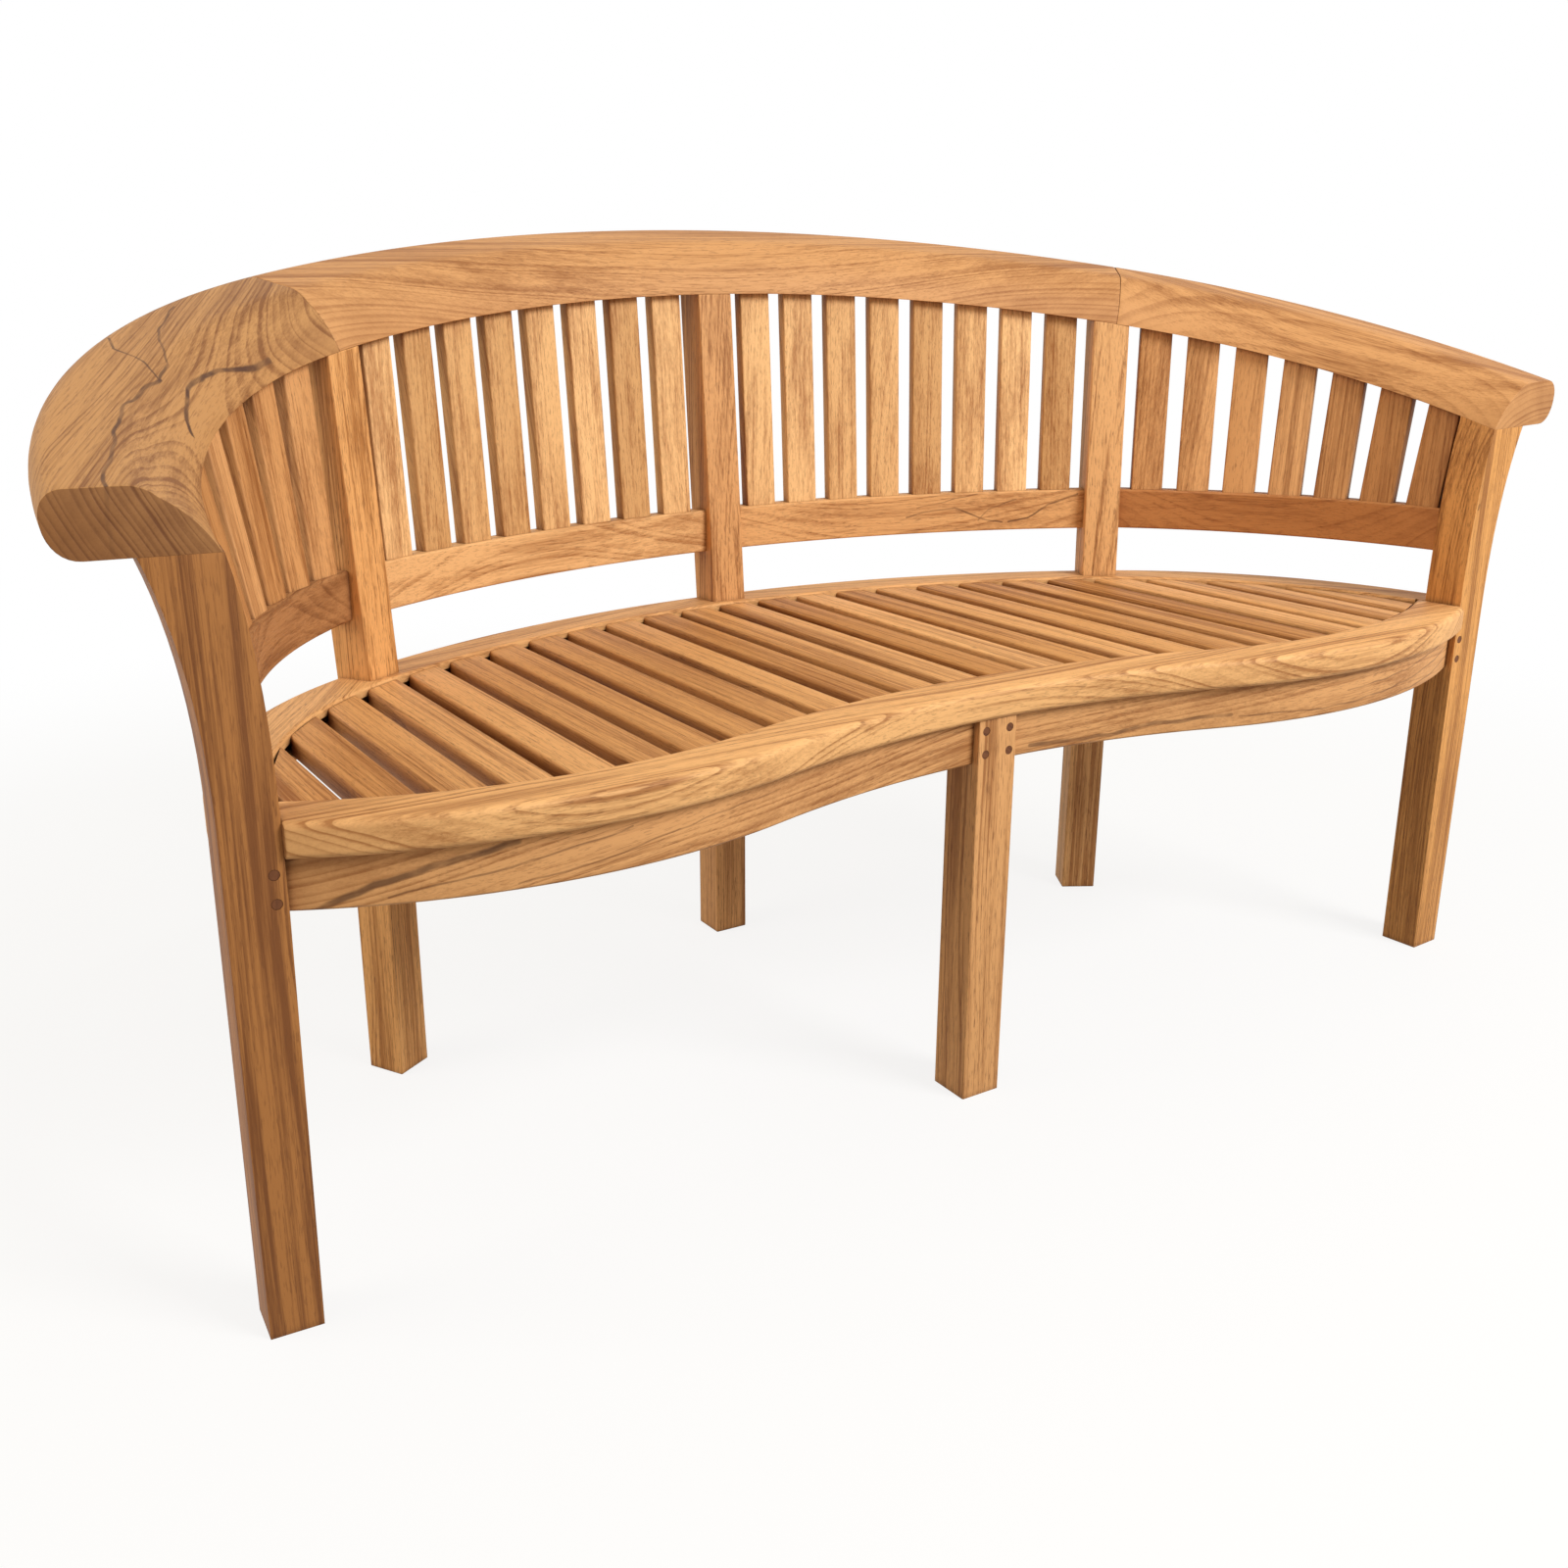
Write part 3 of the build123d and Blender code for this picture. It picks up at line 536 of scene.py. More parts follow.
class WoodGroup(SharedGroup):
    """Look of sawn teak in a board's own directions.

    X runs along the grain; the rings are round an axis that Pith moves off the board. Each noise
    is given by its scale along and across the grain, its detail and its roughness.
    """

    NAME = "teak_grain"
    PORTS = (("Vector", "Vector", (0, 0, 0)), ("Normal", "Vector", (0, 0, 1)), ("Pith", "Vector", (0, 0.05, 0.12)),
             ("Seed", "Float", 0.0), ("Spacing", "Float", 0.005), ("Warp", "Float", 0.02))
    RESULTS = ("Rings", "Fibre", "Streak", "Pores", "Cloud", "End", "Height")
    SEED_SHIFT = (3.7, 1.3)
    SWAY, RIPPLE = ((2.2, 6.0, 6.0), 1.5, 0.45), ((5.0, 40.0, 40.0), 1.0, 0.4)
    FIBRE, STREAK = ((7.0, 480.0, 480.0), 3.0, 0.72), ((2.0, 70.0, 70.0), 2.0, 0.55)
    PORE, CLOUD = ((58.0, 800.0, 800.0), 2.0, 0.6), ((1.6, 11.0, 11.0), 2.0, 0.5)
    RIPPLE_REACH, STREAK_SHIFT = (0.0, 0.0012, 0.0012), (1.7, 0.3, 2.9)
    PORE_EDGES, EARLY_PORES, LATE_PORES = (0.55, 0.64), 0.55, 0.45
    YEAR_PACE, YEAR_WANDER = 0.37, 2.2
    LATE_WOOD, YEAR_END, RING_POWER = (0.1, 0.88), (0.90, 1.0), 2.2
    FAINT_YEARS, FAINTEST = (0.32, 0.68), 0.25
    END_FACING, SLANT_FACING, CALMEST = (0.72, 0.96), (0.06, 0.45), 0.22
    RING_DEPTH, FIBRE_HEIGHT, PORE_DEPTH, END_RIBS = 0.25, 0.5, 0.6, 0.5

    @classmethod
    def lay(cls, n: Nodes, entry: object) -> dict[str, Socket]:
        """Lays rings, fibres, streaks, pores and clouds.

        Args:
            n: Nodes of the group.
            entry: Sockets of its inputs.

        Returns:
            Socket of each result.
        """
        vector, seed, warp = entry["Vector"], entry["Seed"], n.times(entry["Warp"], 2.0)
        place = n.vector("ADD", vector, n.join(*(n.times(seed, pace) for pace in cls.SEED_SHIFT), 0.0))
        sway = n.vector("SUBTRACT", n.noise(place, *cls.SWAY, colour=True), MIDDLE)
        ripple = n.vector("SUBTRACT", n.noise(place, *cls.RIPPLE, colour=True), MIDDLE)
        swung = n.vector("ADD", vector, n.vector("MULTIPLY", sway, n.join(0.0, warp, warp)))
        swung = n.vector("ADD", swung, n.vector("MULTIPLY", ripple, cls.RIPPLE_REACH))
        _, across, deep = n.split(n.vector("SUBTRACT", swung, entry["Pith"]))
        years = n.over(n.vector("LENGTH", n.join(0.0, across, deep)), entry["Spacing"])
        uneven = n.add("ShaderNodeTexNoise", {"W": n.plus(n.times(years, cls.YEAR_PACE), seed), "Scale": 1.0,
                                              "Detail": 2.0}, noise_dimensions="1D").outputs[0]
        phase = n.sum("FRACT", n.plus(years, n.times(uneven, cls.YEAR_WANDER)))
        rise = n.sum("POWER", n.remap(phase, *cls.LATE_WOOD), cls.RING_POWER)
        fall = n.remap(phase, *cls.YEAR_END, 1.0, 0.0)
        rings = n.times(n.times(rise, fall), n.remap(uneven, *cls.FAINT_YEARS, cls.FAINTEST))
        facing = n.sum("ABSOLUTE", n.split(n.vector("NORMALIZE", entry["Normal"]))[0])
        end = n.remap(facing, *cls.END_FACING)
        calm = n.remap(facing, *cls.SLANT_FACING, 1.0, cls.CALMEST)

        def calmed(value: Socket) -> Socket:
            """Value that comes to rest where the grain runs out of the face."""
            return n.plus(0.5, n.times(n.minus(value, 0.5), calm))

        fibre = calmed(n.noise(place, *cls.FIBRE))
        streak = calmed(n.noise(n.vector("ADD", place, cls.STREAK_SHIFT), *cls.STREAK))
        dashes = n.remap(n.noise(place, *cls.PORE), *cls.PORE_EDGES)
        pores = n.times(dashes, n.times(calm, n.plus(cls.EARLY_PORES, n.times(rings, cls.LATE_PORES))))
        hollows = n.plus(n.times(rings, cls.RING_DEPTH), n.times(pores, cls.PORE_DEPTH))
        height = n.minus(n.times(fibre, cls.FIBRE_HEIGHT), hollows)
        ribs = n.times(n.times(rings, end), cls.END_RIBS)
        return {"Rings": rings, "Fibre": fibre, "Streak": streak, "Pores": pores,
                "Cloud": n.noise(place, *cls.CLOUD), "End": end, "Height": n.minus(height, ribs)}


class StrokeGroup(SharedGroup):
    """One straight piece of a dark mineral line."""

    NAME = "mineral_stroke"
    PORTS = (("Place", "Vector", (0, 0, 0)), ("Start", "Vector", (0, 0, 0)), ("End", "Vector", (0.1, 0, 0)),
             ("Width", "Float", 0.002))
    RESULTS = ("Mask",)
    CORE_SHARE = 0.35

    @classmethod
    def lay(cls, n: Nodes, entry: object) -> dict[str, Socket]:
        """Measures how far the place lies from the line.

        Args:
            n: Nodes of the group.
            entry: Sockets of its inputs.

        Returns:
            Socket of the mask, which is 1 on the line and 0 past its width.
        """
        step = n.vector("SUBTRACT", entry["End"], entry["Start"])
        gone = n.vector("SUBTRACT", entry["Place"], entry["Start"])
        part = n.over(n.vector("DOT_PRODUCT", gone, step), n.vector("DOT_PRODUCT", step, step), clamp=True)
        near = n.add("ShaderNodeVectorMath", {0: step, 3: part}, operation="SCALE").outputs[0]
        away = n.over(n.vector("LENGTH", n.vector("SUBTRACT", gone, near)), entry["Width"])
        return {"Mask": n.remap(away, cls.CORE_SHARE, 1.0, 1.0, 0.0)}


@dataclass(frozen=True)
class Strokes:
    """Dark mineral lines on a board's front, as bends in the row frame's X and Z.

    Args:
        lines: Each line as its width, its strength and its bends.
    """

    lines: Lines
    WAVER_SCALE, WAVER_REACH = 26.0, (0.008, 0.008, 0.0)
    FADE_SCALE, FADE_EDGES, FAINTEST = 34.0, (0.35, 0.6), 0.55

    def flat(self, n: Nodes, place: Socket) -> Socket:
        """Vector with the place on the face, in metres."""
        x, _, z = n.split(place)
        return n.join(x, z, 0.0)

    def bend(self, first: float, second: float) -> Triple:
        """One bend in the same measure as the face."""
        return first, second, 0.0

    def mask(self, n: Nodes, place: Socket) -> Socket:
        """Adds the lines' nodes.

        Args:
            n: Nodes of the material.
            place: Object coordinates.

        Returns:
            Socket that is the line's strength on a line and 0 off it.
        """
        waver = n.add("ShaderNodeTexNoise", {"Vector": place, "Scale": self.WAVER_SCALE, "Detail": 1.0}).outputs[1]
        stray = n.vector("MULTIPLY", n.vector("SUBTRACT", waver, MIDDLE), self.WAVER_REACH)
        flat = n.vector("ADD", self.flat(n, place), stray)
        fade = n.add("ShaderNodeTexNoise", {"Vector": place, "Scale": self.FADE_SCALE}).outputs[0]
        found: object = 0.0
        for width, strength, bends in self.lines:
            points = [self.bend(*b) for b in bends]
            for start, end in zip(points, points[1:]):
                stroke = StrokeGroup.use(n, Place=flat, Start=start, End=end, Width=width)["Mask"]
                found = n.sum("MAXIMUM", found, n.times(stroke, strength))
        return n.times(found, n.remap(fade, *self.FADE_EDGES, self.FAINTEST))


@dataclass(frozen=True)
class ArmStrokes(Strokes):
    """Mineral lines on an arm's rail, as bends in its angle round the arc and the distance out.

    Args:
        frame: Turn and place of the rail's plane.
        arc: Inner edge of the arm's rail, right side.
        side: Side that the arm is on.
    """

    frame: Matrix
    arc: Arc
    side: Side

    @property
    def spread(self) -> float:
        """Radius of the rail's middle line."""
        return self.arc.radius + PLAN.rail_width / 2

    def flat(self, n: Nodes, place: Socket) -> Socket:
        """Adds the nodes that unroll the arm.

        Args:
            n: Nodes of the material.
            place: Object coordinates.

        Returns:
            Vector with the way round the arc and the distance out, in metres.
        """
        laid = n.turned(place, tuple(self.frame.to_euler("XYZ")), self.frame.translation)
        x, y, _ = n.split(n.vector("SUBTRACT", laid, self.side.flip(self.arc.centre)))
        aside = n.times(x, float(self.side.value))
        out = n.minus(n.vector("LENGTH", n.join(aside, y, 0.0)), self.arc.radius)
        return n.join(n.times(n.sum("ARCTAN2", aside, y), self.spread), out, 0.0)

    def bend(self, first: float, second: float) -> Triple:
        """One bend in the same measure as the face."""
        return math.radians(first) * self.spread, second, 0.0


@dataclass(frozen=True)
class Lie:
    """How a board lies in its log.

    Args:
        origin: Middle of the board.
        along: Way that the grain runs.
        up: Way out of the board's wide face.
    """

    origin: Vector
    along: Vector
    up: Vector

    @classmethod
    def within(cls, box: tuple[Vector, Vector], along: Vector, up: Vector) -> "Lie":
        """Lie of a board that fills a box."""
        return cls((box[0] + box[1]) / 2, along, up)

    @property
    def euler(self) -> Triple:
        """Turn of the board.

        Returns:
            Euler angles that take the board's own directions to the row frame.
        """
        x = self.along.normalized()
        z = (self.up - x * self.up.dot(x)).normalized()
        y = z.cross(x)
        return tuple(Matrix((x, y, z)).transposed().to_euler("XYZ"))


@dataclass(frozen=True)
class Teak:
    """One board's finish.

    Args:
        name: Name of the material.
        lie: How the board lies in its log.
        light: Colour between the rings.
        dark: Colour of the rings.
        seed: Number that sets this board apart.
        spacing: Distance between rings.
        warp: How far the rings stray.
        pith: Middle of the log, off the board.
        contrast: Strength of the rings.
        per_slat: Whether the mesh carries a shift and a tone for each slat.
        strokes: Dark mineral lines drawn one by one.
        end_grain: How much darker the end grain is.
        painted_shade_reach: How far from another face the painted shade reaches, darkening the colour in crevices
            and gaps.
        figure: Strength of fibre, streak, cloud and pores.
    """

    name: str
    lie: Lie
    light: Triple = TEAK_LIGHT
    dark: Triple = TEAK_DARK
    seed: float = 0.0
    spacing: float = 0.006
    warp: float = 0.02
    pith: Triple = (0.0, 0.06, -0.12)
    contrast: float = 0.5
    per_slat: bool = False
    strokes: Strokes | None = None
    end_grain: float = 0.62
    painted_shade_reach: float = 0.014
    figure: float = 1.0

    BASE_DEPTH = 0.22
    SWINGS = (("Cloud", 0.3, 0.7, 0.26), ("Fibre", 0.3, 0.7, 0.42), ("Streak", 0.32, 0.68, 0.42))
    PORE_SHARE = 0.55
    # Painted shade: ambient-occlusion range, strength and samples of the darkening painted into crevices and gaps
    JOINT_LIGHT, JOINT_SHARE, JOINT_SAMPLES = (0.08, 0.80), 0.95, 8
    TONES = (("Value", 0.74, 1.14), ("Hue", 0.495, 0.503), ("Saturation", 1.07, 0.96))
    ROUGHNESS, FIBRE_ROUGHNESS, GLOSS = 0.52, 0.16, 0.35
    BUMP, BUMP_DEPTH = 0.35, 0.0006

    def material(self) -> bpy.types.Material:
        """Builds the material.

        Returns:
            A Principled material fed by the shared grain group.
        """
        made = bpy.data.materials.new(self.name)
        n = Nodes.inside(made)
        coords = n.add("ShaderNodeTexCoord").outputs
        turn = self.lie.euler
        local = n.turned(coords["Object"], turn, self.lie.origin)
        if self.per_slat:
            local = n.vector("ADD", local, n.add("ShaderNodeAttribute", attribute_name="shift").outputs["Vector"])
        out = WoodGroup.use(n, Vector=local, Normal=n.turned(coords["Normal"], turn), Pith=self.pith,
                            Seed=self.seed, Spacing=self.spacing, Warp=self.warp)
        colour = self.colour(n, out, coords["Object"])
        bump = n.add("ShaderNodeBump", {"Strength": self.BUMP, "Distance": self.BUMP_DEPTH, "Height": out["Height"]})
        rough = n.plus(self.ROUGHNESS, n.times(out["Fibre"], self.FIBRE_ROUGHNESS))
        shader = n.add("ShaderNodeBsdfPrincipled", {"Base Color": colour, "Roughness": rough,
                                                    "Normal": bump.outputs[0], "Specular IOR Level": self.GLOSS})
        n.add("ShaderNodeOutputMaterial", {"Surface": shader.outputs[0]})
        return made

    def cover(self, node: bpy.types.Object) -> None:
        """Gives a CAD node this wood.

        Args:
            node: The node's object.
        """
        node.data.materials.clear()
        node.data.materials.append(self.material())
        log.info("%s: CAD shape, %s", node.name, self.name)

    def colour(self, n: Nodes, out: object, place: Socket) -> Socket:
        """Adds the nodes that colour the board, with painted shade in its crevices and gaps.

        Args:
            n: Nodes of the material.
            out: Outputs of the grain group.
            place: Object coordinates.

        Returns:
            Socket of the colour.
        """
        depth = n.plus(n.times(out["Rings"], self.contrast), self.BASE_DEPTH)
        for name, low, high, swing in self.SWINGS:
            reach = swing * self.figure
            depth = n.plus(depth, n.remap(out[name], low, high, -reach, reach, smooth=False))
        colour = n.mix(n.plus(depth, 0.0, clamp=True), self.light, self.dark)
        colour = n.mix(n.times(out["Pores"], self.PORE_SHARE * self.figure), colour, PORE_COLOUR)
        if self.strokes:
            colour = n.mix(n.times(self.strokes.mask(n, place), n.minus(1.0, out["End"])), colour, MINERAL_COLOUR)
        # Painted shade: an ambient-occlusion mask darkens the colour in crevices, gaps and joints, where shade falls
        near = n.add("ShaderNodeAmbientOcclusion", {"Distance": self.painted_shade_reach}, samples=self.JOINT_SAMPLES)
        painted_shade = n.remap(near.outputs["AO"], *self.JOINT_LIGHT, self.JOINT_SHARE, 0.0)
        colour = n.mix(painted_shade, colour, PAINTED_CREVICE_SHADE, blend="MULTIPLY")
        colour = n.mix(n.times(out["End"], self.end_grain), colour, END_SHADE, blend="MULTIPLY")
        if not self.per_slat:
            return colour
        tone = n.add("ShaderNodeAttribute", attribute_name="tone").outputs["Fac"]
        changes = {name: n.remap(tone, 0.0, 1.0, low, high, smooth=False) for name, low, high in self.TONES}
        return n.add("ShaderNodeHueSaturation", {"Color": colour, **changes}).outputs[0]


# Meshes


def shade(mesh: bpy.types.Mesh, angle: float = SHARP_ANGLE) -> None:
    """Smooths a mesh's shading up to an angle in degrees."""
    mesh.shade_smooth()
    mesh.set_sharp_from_angle(angle=math.radians(angle))


@contextmanager
def opened(mesh: bpy.types.Mesh) -> Iterator[bmesh.types.BMesh]:
    """Opens a mesh for editing and writes it back at the end.

    Args:
        mesh: Mesh to edit.

    Yields:
        The mesh in its open form.
    """
    form = bmesh.new()
    form.from_mesh(mesh)
    yield form
    form.to_mesh(mesh)
    form.free()


def soften(mesh: bpy.types.Mesh, width: float, angle: float = SHARP_ANGLE) -> None:
    """Rounds the sharp edges of a finished mesh and smooths its shading.

    Args:
        mesh: Mesh to round.
        width: Width of the rounding.
        angle: Edges that turn by more than this many degrees are rounded.
    """
    with opened(mesh) as form:
        sharp = [e for e in form.edges if len(e.link_faces) == 2 and e.calc_face_angle() > math.radians(angle)]
        bmesh.ops.bevel(form, geom=sharp, offset=width, segments=BEVEL_STEPS, profile=BEVEL_PROFILE,
                        affect="EDGES", clamp_overlap=True)
        bmesh.ops.recalc_face_normals(form, faces=form.faces)
    shade(mesh, angle)


def merge(mesh: bpy.types.Mesh) -> None:
    """Merges the doubles of a mesh and turns its faces outwards.

    Args:
        mesh: Mesh to merge.
    """
    with opened(mesh) as form:
        bmesh.ops.remove_doubles(form, verts=form.verts, dist=WELD)
        bmesh.ops.recalc_face_normals(form, faces=form.faces)


def strands(name: str, ends: list[Vector]) -> bpy.types.Mesh:
    """Makes a mesh of single edges.

    Args:
        name: Name of the mesh.
        ends: Both ends of each edge in turn.

    Returns:
        The mesh.
    """
    mesh = bpy.data.meshes.new(name)
    mesh.from_pydata(ends, [(k, k + 1) for k in range(0, len(ends), 2)], [])
    return mesh


def rounded_copy(node: str, finish: Teak, width: float, flat: float) -> bpy.types.Object:
    """Copies a CAD node, merged, with its sharp edges rounded.

    Args:
        node: Name of the node.
        finish: Wood of the copy.
        width: Width of the rounding.
        flat: Faces that turn by less than this many degrees are joined first.

    Returns:
        The new piece, at the origin.
    """
    mesh = bpy.data.objects[node].data.copy()
    mesh.materials.clear()
    with opened(mesh) as form:
        bmesh.ops.remove_doubles(form, verts=form.verts, dist=CAD_WELD)
        bmesh.ops.dissolve_limit(form, angle_limit=math.radians(flat), verts=form.verts, edges=form.edges)
    soften(mesh, width)
    mesh.materials.append(finish.material())
    return linked(node + "_wood", mesh)


def settle(piece: bpy.types.Object, slot: str, *nodes: str) -> None:
    """Fixes a finished piece to the bench.

    Args:
        piece: The piece.
        slot: Name of a material slot; not used.
        nodes: CAD nodes it stands for.
    """
    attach(piece, "root")
    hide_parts(*nodes)
    log.info("%s: %d faces", piece.name, len(piece.data.polygons))


# Sub-assemblies


@dataclass
class TopRail:
    """Three wide rail pieces in one sloping plane."""

    nose_height: float = 0.030
    nose_under: float = 0.025
    nose_over: float = 0.017
    inner_slope: float = 0.048
    inner_bow: float = 0.004
    crest_ease: float = 0.012
    seam_ease: float = 0.0014
    seam_angle: float = 40.0
    corner_pull: float = 0.58
    nose_steps: int = 9
    crest_steps: int = 4
    slope_steps: int = 9
    centre_steps: int = 120
    arm_steps: int = 72
    grain_inset: float = 0.03
    mineral: Lines = (
        (0.0016, 0.80, ((56.8, 0.106), (59.4, 0.092), (60.7, 0.069), (63.8, 0.044), (60.0, 0.044), (55.5, 0.069),
                        (46.5, 0.097))),
        (0.0021, 0.95, ((63.5, 0.043), (69.2, 0.050), (71.8, 0.056), (75.6, 0.056), (80.0, 0.060), (83.7, 0.066),
                        (86.8, 0.073), (89.5, 0.074))),
        (0.0026, 1.00, ((45.6, 0.010), (50.4, 0.012), (54.1, 0.018), (57.6, 0.024), (61.8, 0.024), (65.2, 0.021),
                        (67.2, 0.016), (68.6, 0.009))))

    def corner(self, start: Vector, end: Vector, tip: Vector, count: int) -> list[Vector]:
        """Rounds one corner of the outline.

        Args:
            start: Where the rounding begins.
            end: Where it ends.
            tip: The corner itself.
            count: Steps along the rounding.

        Returns:
            Points from start to end.
        """
        near, far = start.lerp(tip, self.corner_pull), end.lerp(tip, self.corner_pull)
        points: list[Vector] = []
        for k in range(count + 1):
            t = k / count
            a, b, c = start.lerp(near, t), near.lerp(far, t), far.lerp(end, t)
            points.append(a.lerp(b, t).lerp(b.lerp(c, t), t))
        return points

    def section(self) -> bpy.types.Mesh:
        """Draws the rail's outline.

        Returns:
            Closed outline, outwards along X and downwards along Y.
        """
        wide, thick = PLAN.rail_width, PLAN.rail_thick
        inner, nose, crest = Vector((0, 0)), Vector((wide, self.nose_height)), Vector((self.inner_slope, thick))
        slope = crest.lerp(inner, self.crest_ease / (crest - inner).length)
        square = Vector((-thick, self.inner_slope)).normalized()
        points = [inner]
        points += self.corner(Vector((wide - self.nose_under, 0)), nose, Vector((wide, 0)), self.nose_steps)
        points += self.corner(nose, Vector((wide - self.nose_over, thick)), Vector((wide, thick)), self.nose_steps)
        points += self.corner(crest + Vector((self.crest_ease, 0)), slope, crest, self.crest_steps)
        for k in range(1, self.slope_steps):
            t = k / self.slope_steps
            points.append(slope.lerp(inner, t) + square * (4 * t * (1 - t) * self.inner_bow))
        mesh = bpy.data.meshes.new("rail_section")
        count = len(points)
        mesh.from_pydata([(p.x, -p.y, 0) for p in points], [(k, (k + 1) % count) for k in range(count)], [])
        return mesh

    def tree(self) -> ShapeTree:
        """Builds the tree that sweeps a section along an arc and lays it in the sloping plane.

        Returns:
            The tree.
        """
        tree = ShapeTree("rail_sweep")
        n = tree.nodes
        radius, start, sweep = tree.size("Radius"), tree.size("Start Angle"), tree.size("Sweep Angle")
        centre, origin, tilt = tree.size("Centre", "Vector"), tree.size("Origin", "Vector"), tree.size("Tilt")
        steps, material = tree.size("Steps", "Int"), tree.size("Material", "Material")
        path = n.add("GeometryNodeCurveArc", {"Resolution": steps, "Radius": radius, "Start Angle": start,
                                              "Sweep Angle": sweep}, mode="RADIUS").outputs[0]
        bar = tree.sweep(path, tree.curves())
        flat = n.add("GeometryNodeTransform", {"Geometry": bar, "Translation": centre}).outputs[0]
        laid = n.add("GeometryNodeTransform", {"Geometry": flat, "Translation": origin,
                                               "Rotation": n.join(tilt, 0.0, 0.0)}).outputs[0]
        tree.close(laid, material)
        return tree

    def sizes(self, arc: Arc, start: float, centre: Vector, steps: int, finish: Teak) -> dict[str, object]:
        """Values of the tree's inputs for one piece.

        Args:
            arc: Inner edge of the piece, right side.
            start: Angle from +X where the sweep starts, in degrees.
            centre: Middle of the sweep, in the rail's plane.
            steps: Points along the sweep.
            finish: Wood of the piece.

        Returns:
            Value of each input.
        """
        return {"Radius": arc.radius, "Start Angle": math.radians(start), "Centre": centre, "Steps": steps,
                "Sweep Angle": math.radians(arc.last - arc.first), "Origin": PLAN.rail_frame.translation,
                "Tilt": PLAN.rail_tilt, "Material": finish.material()}

    def cut_front(self, mesh: bpy.types.Mesh, side: Side) -> None:
        """Cuts an arm's rail along the front face of its post.

        Args:
            mesh: Mesh of the arm's rail.
            side: Side that the arm is on.
        """
        way = outward(PLAN.total_angle + 90)
        point = PLAN.foot(PLAN.total_angle) + way * PLAN.leg / 2
        with opened(mesh) as form:
            cut = bmesh.ops.bisect_plane(form, geom=form.verts[:] + form.edges[:] + form.faces[:], dist=WELD,
                                         plane_co=side.flip(point), plane_no=side.flip(way), clear_outer=True)
            loop = [e for e in cut["geom_cut"] if isinstance(e, bmesh.types.BMEdge)]
            bmesh.ops.edgeloop_fill(form, edges=loop)

    def dress(self, mesh: bpy.types.Mesh) -> None:
        """Merges a rail and eases the edges of its ends and seams."""
        merge(mesh)
        soften(mesh, self.seam_ease, self.seam_angle)

    def build(self) -> None:
        """Builds the three pieces."""
        tree, section, frame = self.tree(), self.section(), PLAN.rail_frame
        turn = frame.to_3x3()
        arc = PLAN.rail_centre_arc
        middle = Vector((0, -self.grain_inset, PLAN.rail_thick / 2))
        finish = Teak("teak_rail_centre", Lie(frame @ middle, turn @ ACROSS, turn @ UP), seed=3.0, spacing=0.0062,
                      warp=0.016, pith=(0, -0.12, -0.13), contrast=0.6, light=(0.67, 0.34, 0.132))
        piece = tree.grow("top_rail_centre_wood", section, self.sizes(arc, 90 - arc.last, arc.centre,
                                                                      self.centre_steps, finish))
        self.dress(piece.data)
        settle(piece, "top_rail", "top_rail_centre")
        arc = PLAN.rail_arm_arc
        middle = arc.at((arc.first + arc.last) / 2, PLAN.rail_width / 2)
        chord = arc.at(arc.last) - arc.at(arc.first)
        for side in Side:
            lie = Lie(frame @ side.flip(middle), turn @ side.flip(chord), turn @ UP)
            start = 90 - arc.last if side is Side.RIGHT else 90 + arc.first
            finish = Teak(f"teak_rail_{side.word}_arm", lie, seed=12.0, spacing=0.0062, warp=0.02,
                          pith=(0, 0.0, -0.14), contrast=0.6, end_grain=0.1, light=(0.67, 0.338, 0.130))
            if side is Side.LEFT:
                finish = replace(finish, light=(0.54, 0.275, 0.098), dark=(0.24, 0.092, 0.024), seed=7.0,
                                 spacing=0.0048, pith=(0, 0.20, 0.11), warp=0.026, contrast=0.7, end_grain=0.8,
                                 strokes=ArmStrokes(self.mineral, frame, arc, side))
            piece = tree.grow(f"top_rail_{side.word}_arm_wood", section, self.sizes(
                arc, start, side.flip(arc.centre), self.arm_steps, finish))
            merge(piece.data)
            self.cut_front(piece.data, side)
            self.dress(piece.data)
            settle(piece, "top_rail", f"top_rail_{side.word}_arm")


